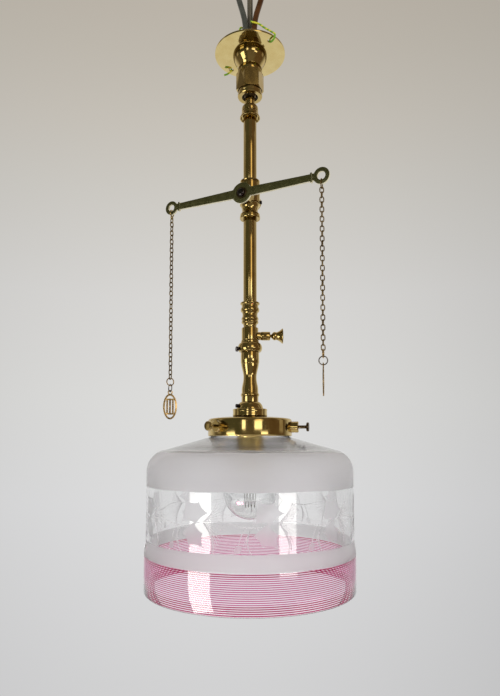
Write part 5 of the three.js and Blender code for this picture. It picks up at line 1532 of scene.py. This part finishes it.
SCREW_ANGLES = {"right": -12.0, "left": -132.0, "rear": 108.0}
shoulder = round_corner(39.9, -390.1, 2.6, 88, 0, 8)
inner_shoulder = round_corner(39.9, -390.1, 1.6, 0, 88, 8)
skirt = turn(
    "spun_gallery",
    [
        (12.0, GALLERY_TOP), (17.6, -385.15), (26.0, -385.75), (34.0, -386.6), *shoulder, (42.5, -403.6),
        (42.35, -404.6), (41.9, -405.25), (41.4, -405.1), (41.5, -404.2), *inner_shoulder, (34.0, -387.6),
        (26.0, -386.75), (12.0, HOLDER_TOP),
    ],
    160,
)
screw_boss = turn(
    "screw_boss", [(0.0, 41.7), (5.6, 41.7), (5.6, 48.8), (5.0, 49.4), (0.0, 49.4)], 40, closed=False
)
for angle in SCREW_ANGLES.values():
    cut(skirt, lay_outwards(copy_of(screw_boss, "one_boss"), angle, SCREWS), "UNION")
throw_away(screw_boss)
for angle in SCREW_ANGLES.values():
    drill(skirt, 1.85, 14.0, polar(45.5, angle, SCREWS), (0, 90, angle), sides=24)
set_piece(soften(skirt, 0.12, 2, 32), "stem", polished_brass, "polished_brass", "gallery")

screw_pattern = turn(
    "thumbscrew_pattern",
    [
        (0.0, 39.5), (1.6, 39.7), (1.6, 56.4), (2.2, 57.0), (3.9, 57.3), (4.5, 57.7), (4.5, 59.3),
        (4.0, 59.8), (2.4, 59.6), (0.0, 59.5),
    ],
    40,
    closed=False,
)
for which, angle in SCREW_ANGLES.items():
    screw = lay_outwards(copy_of(screw_pattern, f"thumbscrew_{which}_turning"), angle, SCREWS)
    finish = dark_bronze if which == "right" else polished_brass
    set_piece(
        soften(screw, 0.0, angle=35), f"thumbscrew_{which}", finish, "dark_steel", f"thumbscrew_{which}"
    )
throw_away(screw_pattern)

# %% [markdown]
# Inside the shade hangs a brass bayonet lampholder. Its sleeve is turned, and two J-shaped slots
# are cut in it: a straight run up from the mouth, and a short run round to where the pin rests.

# %% Lampholder
PIN_LEVEL = -410.6
SLOT_TURN = 22.0
holder = turn(
    "bayonet_lampholder",
    [
        (4.2, -379.1), (11.3, -379.1), (11.6, -379.4), (11.6, HOLDER_TOP), (12.9, HOLDER_TOP),
        (13.4, -386.6), (13.4, -394.0), (12.9, -394.5), (12.9, -395.4), (13.4, -395.9), (13.4, -399.0),
        (12.95, -399.5), (12.95, -400.4), (13.4, -400.9), (13.4, -425.6), (13.0, -426.0), (13.4, -426.5),
        (13.4, -427.8), (13.1, HOLDER_BOTTOM), (11.6, HOLDER_BOTTOM), (11.4, -427.9), (11.4, -387.0),
        (4.2, -387.0),
    ],
    80,
)
for start in (0.0, 180.0):
    slot_form = flat_bar("run", 8.0, 3.0, 19.0, (12.5, 0.0), PIN_LEVEL - 8.0)
    slot_form.rotation_euler = (0, 0, math.radians(start + SLOT_TURN))
    apply_place(slot_form)
    cut(holder, slot_form)
    for step in range(4):
        one = flat_bar("step", 8.0, 3.0, 3.0, (12.5, 0.0), PIN_LEVEL)
        one.rotation_euler = (0, 0, math.radians(start + SLOT_TURN * step / 4))
        apply_place(one)
        cut(holder, one)
set_piece(soften(holder, 0.08, 2, 36), "stem", polished_brass, "polished_brass", "lampholder")

insulating = turn(
    "insulator_disc",
    [
        (1.8, -388.1), (10.8, -388.1), (11.1, -388.4), (11.1, -400.7), (10.7, INSULATOR_BOTTOM),
        (1.8, INSULATOR_BOTTOM),
    ],
    64,
)
CONTACTS = {"contact_near": -5.0, "contact_far": 5.0}
for across in CONTACTS.values():
    drill(insulating, 2.0, 16.0, (0.0, across, -399.2), sides=28)
set_piece(soften(insulating, 0.0), "stem", black_plastic, "black_plastic", "insulator")
plunger = turn(
    "plunger_pattern",
    [
        (0.0, -397.3), (1.7, -397.3), (1.7, -402.2),
        *quadratic((1.7, -402.2), (1.6, -403.2), (0.0, -403.3), 5),
    ],
    28,
    closed=False,
)
for which, across in CONTACTS.items():
    contact = copy_of(plunger, which + "_plunger")
    contact.location = (0, across * MM, 0)
    apply_place(contact)
    set_piece(soften(contact, 0.0, angle=50), which, polished_brass, "polished_brass", which)
throw_away(plunger)

# %% [markdown]
# The lamp is a round clear bulb. Its skin is thin glass with two walls, so that light bends in it as
# in a real bulb, and it stands in a brass cap with two pins. A glass stem inside carries the wires.

# %% Lamp
cap_form = turn(
    "bayonet_cap",
    [
        (0.0, LAMP_CAP_TOP), (8.8, LAMP_CAP_TOP), (9.2, -404.2), (10.6, -404.6), (11.0, -405.2),
        (11.0, -427.4), (10.8, -428.0), (11.0, -428.6), (10.9, LAMP_CAP_BOTTOM), (10.35, LAMP_CAP_BOTTOM),
        (10.35, -417.0), (4.0, -417.0), (4.0, -412.7), (0.0, -412.7),
    ],
    72,
    closed=False,
)
pins = turn(
    "pins",
    [(0.0, -12.3), (0.8, -12.3), (1.0, -12.1), (1.0, 12.1), (0.8, 12.3), (0.0, 12.3)],
    24,
    closed=False,
)
cut(cap_form, lay_outwards(pins, 0.0, PIN_LEVEL), "UNION")
set_piece(soften(cap_form, 0.08, 2, 36), "lamp", polished_brass, "polished_brass", "lamp_cap")

BULB_RADIUS, BULB_NECK, BULB_TOP, BULB_WALL = 26.6, 10.0, -416.9, 0.8


def skin_points(radius, neck, top, steps):
    """One face of the bulb's wall, from its neck down to its lowest point on the axis."""
    start = math.asin(neck / radius)
    turns = [start + (math.pi - start) * i / steps for i in range(steps)]
    skin = [(radius * math.sin(t), BULB + radius * math.cos(t)) for t in turns]
    return [(neck, top), *skin, (0.0, BULB - radius)]


outer_skin = skin_points(BULB_RADIUS, BULB_NECK, BULB_TOP, 36)
inner_skin = skin_points(BULB_RADIUS - BULB_WALL, BULB_NECK - BULB_WALL, BULB_TOP, 36)
bulb = turn("round_bulb", outer_skin[::-1] + inner_skin, 96, closed=False)
set_piece(soften(bulb, 0.0, angle=60), "lamp", bulb_glass, "lamp_glass", "lamp_glass")

glass_stem = turn(
    "glass_stem",
    [
        (0.0, -416.8), (3.6, -416.8), (3.5, -428.0),
        *quadratic((3.5, -428.0), (3.2, -436.0), (1.9, -441.0), 6), (1.7, -451.5), (1.8, -454.4),
        (1.2, -455.2), (0.0, -455.2),
    ],
    40,
    closed=False,
)
set_piece(soften(glass_stem, 0.0, angle=60), "lamp", bulb_glass, "lamp_glass", "lamp_stem")

FILAMENT_TOP, FILAMENT_LOW = -456.0, -476.0
hairpins = [(-7.0, 0.0, FILAMENT_TOP)]
for i in range(9):
    hairpins.append((-6.0 + 1.5 * i, 1.2 * (-1) ** i, FILAMENT_LOW if i % 2 else FILAMENT_TOP - 4.0))
hairpins.append((7.0, 0.0, FILAMENT_TOP))
filament = wire_mesh("hairpin_filament", smooth_line(hairpins, 220), 0.28)
cross_wire = wire_mesh("cross_wire", [(-7.2, 0.0, FILAMENT_TOP + 0.2), (7.2, 0.0, FILAMENT_TOP + 0.2)], 0.4)
set_piece(
    soften(join("hairpin_filament", cross_wire, filament), 0.0, angle=60),
    "lamp",
    bright_steel,
    "dark_steel",
    "filament",
)

# %% [markdown]
# The shade's outline is drawn once, from the rim in the gallery down over the cone and the shoulder
# to the mouth, and back up inside, three millimetres smaller. Spinning the closed outline gives one
# glass wall with a true inside and outside, so the mouth stays open and both faces reflect.

# %% Shade
def cubic(a, b, c, d, steps):
    """Points of an outline along a cubic curve, without its first point."""
    points = []
    for i in range(1, steps + 1):
        t = i / steps
        u = 1 - t
        points.append(
            tuple(
                u**3 * p + 3 * u * u * t * q + 3 * u * t * t * r + t**3 * s
                for p, q, r, s in zip(a, b, c, d)
            )
        )
    return points


SHADE_WALL, SHADE_INSIDE = 102.4, 99.4
RIM_WALL, RIM_INSIDE = 104.0, 101.0
FLARE_TOP, FLARE_BOTTOM = -504.2, -518.0
SHADE_BOTTOM = -554.2
outside = [
    (40.5, -391.6), (40.9, -392.0), (40.9, -393.6), (40.4, -394.0), (39.2, -394.2), (39.2, -405.2),
    (39.7, -405.9), (41.6, -406.4),
    *[(41.6 + (86.0 - 41.6) * t, -406.4 - 12.7 * t) for t in (0.25, 0.5, 0.75, 0.97)],
    *cubic((84.7, -418.75), (93.6, -419.4), (SHADE_WALL, -428.6), (SHADE_WALL, -439.3), 16),
    *[(SHADE_WALL, z) for z in (-448.0, -458.0, -470.0, -482.0, -494.0, FLARE_TOP)],
    *cubic((SHADE_WALL, FLARE_TOP), (SHADE_WALL, -508.6), (RIM_WALL, -513.0), (RIM_WALL, FLARE_BOTTOM), 6),
    (RIM_WALL, -535.0), (RIM_WALL, -553.4), (103.7, -554.0), (103.1, SHADE_BOTTOM),
]
inside = [
    (101.7, SHADE_BOTTOM), (101.2, -553.9), (RIM_INSIDE, -553.3), (RIM_INSIDE, -535.0),
    *cubic(
        (RIM_INSIDE, FLARE_BOTTOM),
        (RIM_INSIDE, -513.0),
        (SHADE_INSIDE, -508.6),
        (SHADE_INSIDE, FLARE_TOP),
        6,
    ),
    *[(SHADE_INSIDE, z) for z in (-495.0, -485.0, -470.0, -455.0)],
    *cubic((SHADE_INSIDE, -440.0), (SHADE_INSIDE, -431.5), (92.5, -422.6), (84.2, -421.7), 14),
    (60.0, -414.8), (42.5, -409.8), (38.2, -408.6), (36.5, -407.4), (36.2, -405.6), (36.2, -391.9),
    (36.5, -391.6),
]
shade = turn("threaded_glass_shade", outside + inside, 168)
set_piece(soften(shade, 0.0, angle=42), "stem", shade_glass, "shade_glass", "shade")

# %% [markdown]
# Pink glass threads were wound round the hot mouth of the shade and melted in. Each is a thin torus
# just under the wall's face, so the face itself stays smooth and mirrors the windows in one piece.
# Two at the top and five at the rim are thicker and darker, as they are on the old glass. One thread
# of each kind is made and copied down the band.

# %% Glass threads
BAND_TOP, BAND_PITCH, THREADS = -519.7, 1.72, 20
THREAD_CIRCLE = 103.45
TOP_DEEP, RIM_DEEP = 2, 5


def threads(name, thickness, finish, places):
    """Glass threads at some places down the band, joined to one piece."""
    bpy.ops.object.select_all(action="DESELECT")
    bpy.ops.mesh.primitive_torus_add(
        major_radius=THREAD_CIRCLE * MM,
        minor_radius=thickness / 2 * MM,
        major_segments=144,
        minor_segments=8,
    )
    pattern = bpy.context.object
    copies = []
    for i in places:
        copy = copy_of(pattern, "thread")
        copy.location = (0, 0, (BAND_TOP - i * BAND_PITCH) * MM)
        apply_place(copy)
        copies.append(copy)
    throw_away(pattern)
    return set_piece(soften(join(name, *copies), 0.0, angle=60), "stem", finish, "shade_glass", "shade")


deep_places = [i for i in range(THREADS) if i < TOP_DEEP or i >= THREADS - RIM_DEEP]
fine_places = [i for i in range(THREADS) if i not in deep_places]
threads("fine_pink_threads", 0.76, thread_glass, fine_places)
threads("deep_pink_threads", 0.88, deep_thread_glass, deep_places)

# %% [markdown]
# The clear band is etched with a garland of ivy-like leaves on a thin stem. A leaf is drawn flat
# from a circle whose points are moved to the leaf's outline of five tips, and cut into strips by
# bisecting so that it can bend. The stem and the fine cut lines are flat ribbons along a curve.

# %% Leaves and ribbons
STRIP = 2.5
LEAF_TIPS = [(-1.0, -6.8), (10.0, -10.0), (22.5, -2.5), (15.5, 7.0), (3.5, 9.6)]
LEAF_HOLLOWS = [(5.5, -5.5), (14.5, -4.4), (15.4, 1.2), (9.5, 4.6), (0.0, 2.5)]
LEAF = []
for tip, hollow, following in zip(LEAF_TIPS, LEAF_HOLLOWS, LEAF_TIPS[1:] + LEAF_TIPS[:1]):
    LEAF.extend(quadratic(tip, hollow, following, 7))


def flat_form(name, outline, place, turned, scale=1.0):
    """A flat outline in the XY plane, in millimetres, cut into narrow strips."""
    bpy.ops.object.select_all(action="DESELECT")
    bpy.ops.mesh.primitive_circle_add(vertices=len(outline), radius=MM, fill_type="NGON")
    form = bpy.context.object
    form.name = name
    angle = math.radians(turned)
    for vertex, (x, y) in zip(form.data.vertices, outline):
        x, y = x * scale, y * scale
        across = place[0] + x * math.cos(angle) - y * math.sin(angle)
        up = place[1] + x * math.sin(angle) + y * math.cos(angle)
        vertex.co = (across * MM, up * MM, 0.0)
    xs = [v.co.x for v in form.data.vertices]
    open_mesh(form)
    line = min(xs) + STRIP * MM
    while line < max(xs):
        bpy.ops.mesh.select_all(action="SELECT")
        bpy.ops.mesh.bisect(plane_co=(line, 0, 0), plane_no=(1, 0, 0))
        line += STRIP * MM
    bpy.ops.mesh.select_all(action="SELECT")
    bpy.ops.mesh.quads_convert_to_tris()
    close_mesh()
    return form


def ribbon(name, line, width):
    """A flat ribbon along a line, tapering to both ends."""
    vertices, faces = [], []
    for i, (x, y) in enumerate(line):
        ahead = line[min(i + 1, len(line) - 1)]
        behind = line[max(i - 1, 0)]
        along = Vector((ahead[0] - behind[0], ahead[1] - behind[1])).normalized()
        half = width / 2 * (0.35 + 0.65 * math.sin(math.pi * (i + 0.5) / len(line)))
        for sign in (1, -1):
            vertices.append(((x - along.y * half * sign) * MM, (y + along.x * half * sign) * MM, 0.0))
        if i:
            faces.append((2 * i - 2, 2 * i - 1, 2 * i + 1, 2 * i))
    mesh = bpy.data.meshes.new(name)
    mesh.from_pydata(vertices, [], faces)
    made = bpy.data.objects.new(name, mesh)
    bpy.context.scene.collection.objects.link(made)
    return made


def swept(start, bow, end, steps=10):
    return [start, *quadratic(start, bow, end, steps)]


print("a leaf has", len(LEAF), "points round its edge")

# %% [markdown]
# One length of the garland has two leaves, a bud, the wavy stem with three twigs, and three fans of
# fine cut lines. It is drawn flat, with the height on the shade as its second coordinate.

# %% One length of the garland
BUD = [(3 * math.cos(t * math.pi / 5), 2.1 * math.sin(t * math.pi / 5)) for t in range(10)]
forms = [
    flat_form("upper_leaf", LEAF, (-11.0, -471.0), 8.0, 1.06),
    flat_form("lower_leaf", LEAF, (-8.5, -484.0), -36.0, 0.98),
    flat_form("bud", BUD, (-26.0, -499.5), 62.0, 1.3),
]
CUT_WIDTH = 0.6
cuts = [
    ribbon("stem", swept((-32.3, -479.0), (-16.0, -484.5), (0.0, -479.5), 20), 1.0),
    ribbon("stem", swept((0.0, -479.5), (16.0, -474.5), (32.3, -479.0), 20), 1.0),
    ribbon("twig", swept((-13.5, -481.6), (-13.5, -476.0), (-10.5, -471.5), 6), 0.8),
    ribbon("twig", swept((-12.0, -481.4), (-10.5, -482.0), (-8.5, -484.0), 6), 0.8),
    ribbon("twig", swept((-20.0, -482.0), (-24.0, -488.0), (-25.5, -497.0), 12), 0.8),
]
for i in range(8):
    line = swept((8.0, -478.6), (15.0 + 0.9 * i, -478.0 - 2.4 * i), (30.0 - 2.2 * i, -481.0 - 3.9 * i), 10)
    cuts.append(ribbon("cut_line", line, CUT_WIDTH))
for i in range(6):
    line = swept((9.0, -477.0), (16.0 + 0.8 * i, -474.5 + 1.5 * i), (28.5 - 1.6 * i, -474.0 + 2.9 * i), 9)
    cuts.append(ribbon("cut_line", line, CUT_WIDTH))
for i in range(5):
    line = swept(
        (-15.0, -482.8), (-18.0 - 0.8 * i, -487.0 - 2.0 * i), (-21.5 + 1.9 * i, -496.0 - 2.2 * i), 9
    )
    cuts.append(ribbon("cut_line", line, CUT_WIDTH))
print("one length of the garland:", len(forms), "leaves and buds,", len(cuts), "ribbons")

# %% [markdown]
# The flat forms get a little thickness and are copied round the shade. Each copy is wrapped onto the
# glass: its length becomes an angle, and it stands a hair proud of the face, where etching shows.

# %% Garland round the shade
GARLAND_REPEATS, GARLAND_START = 10, -27.0
ETCHING_THICK, ETCHING_PROUD = 0.1, 0.09


def garland(name, flat_forms, finish):
    """Thickens flat forms, copies them round the shade and wraps each copy onto the glass."""
    pattern = join(name, *flat_forms)
    apply_modifier(pattern, "SOLIDIFY", thickness=ETCHING_THICK * MM, offset=0.0)
    copies = []
    for i in range(GARLAND_REPEATS):
        copy = copy_of(pattern, "length_of_garland")
        start = math.radians(GARLAND_START + i * 360.0 / GARLAND_REPEATS)
        for vertex in copy.data.vertices:
            around = start + vertex.co.x / (SHADE_WALL * MM)
            out = (SHADE_WALL + ETCHING_PROUD) * MM + vertex.co.z
            vertex.co = (out * math.sin(around), -out * math.cos(around), vertex.co.y)
        copies.append(copy)
    throw_away(pattern)
    wrapped = join(name, *copies)
    open_mesh(wrapped)
    bpy.ops.mesh.select_all(action="SELECT")
    bpy.ops.mesh.normals_make_consistent(inside=False)
    close_mesh()
    return set_piece(wrapped, "stem", finish, "shade_glass", "shade")


garland("etched_garland", forms, etched_leaf)
garland("etched_cut_lines", cuts, cut_glass)

# %% [markdown]
# Above the plate a green and yellow wire ties the flexes together. It comes up through one fixing
# hole, passes between the flexes, and hooks over the rim into the other hole.

# %% Tie wire
TIE_ROUTE = [
    (-28.6, 26.0, -5.6), (-24.6, 24.8, -5.0), (-20.8, 22.8, -3.0), (-20.275, 22.517, 0.75),
    (-14.286, 15.866, 20.0),
    (-10.2, 1.8, 30.5), (-5.8, 7.6, 33.8), (0.0, 7.9, 34.6), (4.35, 4.6375, 34.8), (2.8, 0.375, 34.4),
    (1.25, -3.9, 33.4),
    (2.6, -6.6, 30.8), (9.1, -11.4, 25.0), (15.4, -17.4, 15.8), (21.6, -25.2, 6.0), (25.2, -29.6, -0.8),
    (23.8, -27.6, -4.1), (20.776, -23.074, -3.35), (20.275, -22.517, 2.175),
]
tie = wire_mesh("green_tie_wire", smooth_line(TIE_ROUTE, 170), 0.95)
set_piece(soften(tie, 0.0, angle=60), "ceiling", earth_sheath, "earth_sheath", "tie_wire")

# %% [markdown]
# The flexes end in a plain white terminal block, above the photograph's view. It is a cube drawn out
# to size, with a socket under each flex, a clamping screw's recess in front of it, a supply hole on
# top, and two screw holes between.

# %% Terminal block
BLOCK_WIDTH, BLOCK_DEPTH, BLOCK_HEIGHT = 42.0, 13.0, 16.0
BLOCK_MIDDLE, TERMINAL_PITCH = 76.0, 12.6
block = flat_bar("white_terminal_block", BLOCK_WIDTH, BLOCK_DEPTH, BLOCK_HEIGHT, middle=BLOCK_MIDDLE)
for across in (-TERMINAL_PITCH, 0.0, TERMINAL_PITCH):
    drill(block, 3.3, 8.0, (across, 0.0, BLOCK_MIDDLE - BLOCK_HEIGHT / 2), sides=40)
    drill(block, 1.9, 10.0, (across, 0.0, BLOCK_MIDDLE + BLOCK_HEIGHT / 2), sides=28)
    drill(block, 2.2, 6.0, (across, -BLOCK_DEPTH / 2, BLOCK_MIDDLE), (90, 0, 0), sides=28)
for across in (-TERMINAL_PITCH / 2, TERMINAL_PITCH / 2):
    drill(block, 1.7, 30.0, (across, 0.0, BLOCK_MIDDLE), (90, 0, 0), sides=28)
set_piece(soften(block, 0.5, 3, 40), "ceiling", white_plastic, "white_plastic", "ceiling_block")

# %% [markdown]
# The flexes carry the light's weight, so they hang taut and are stiff, and they end in the terminal
# block. Each flex's centre line is drawn again here from its route.

# %% The flexes' centre lines again
for node_name, route in FLEX_ROUTES.items():
    line = smooth_line(route, 36)

# %% [markdown]
# Three small CAD nodes stay as they are, out of sight inside the stem: the connector in the boss and
# the thin flexes that run down to the lamp. They only need a finish.

# %% Hidden nodes
for node_name, finish in (
    ("flex_connector", white_plastic), ("tail_flex", brown_sheath), ("inner_flex", brown_sheath)
):
    cad_node = bpy.data.objects[node_name]
    cad_node.data.materials.clear()
    cad_node.data.materials.append(finish)
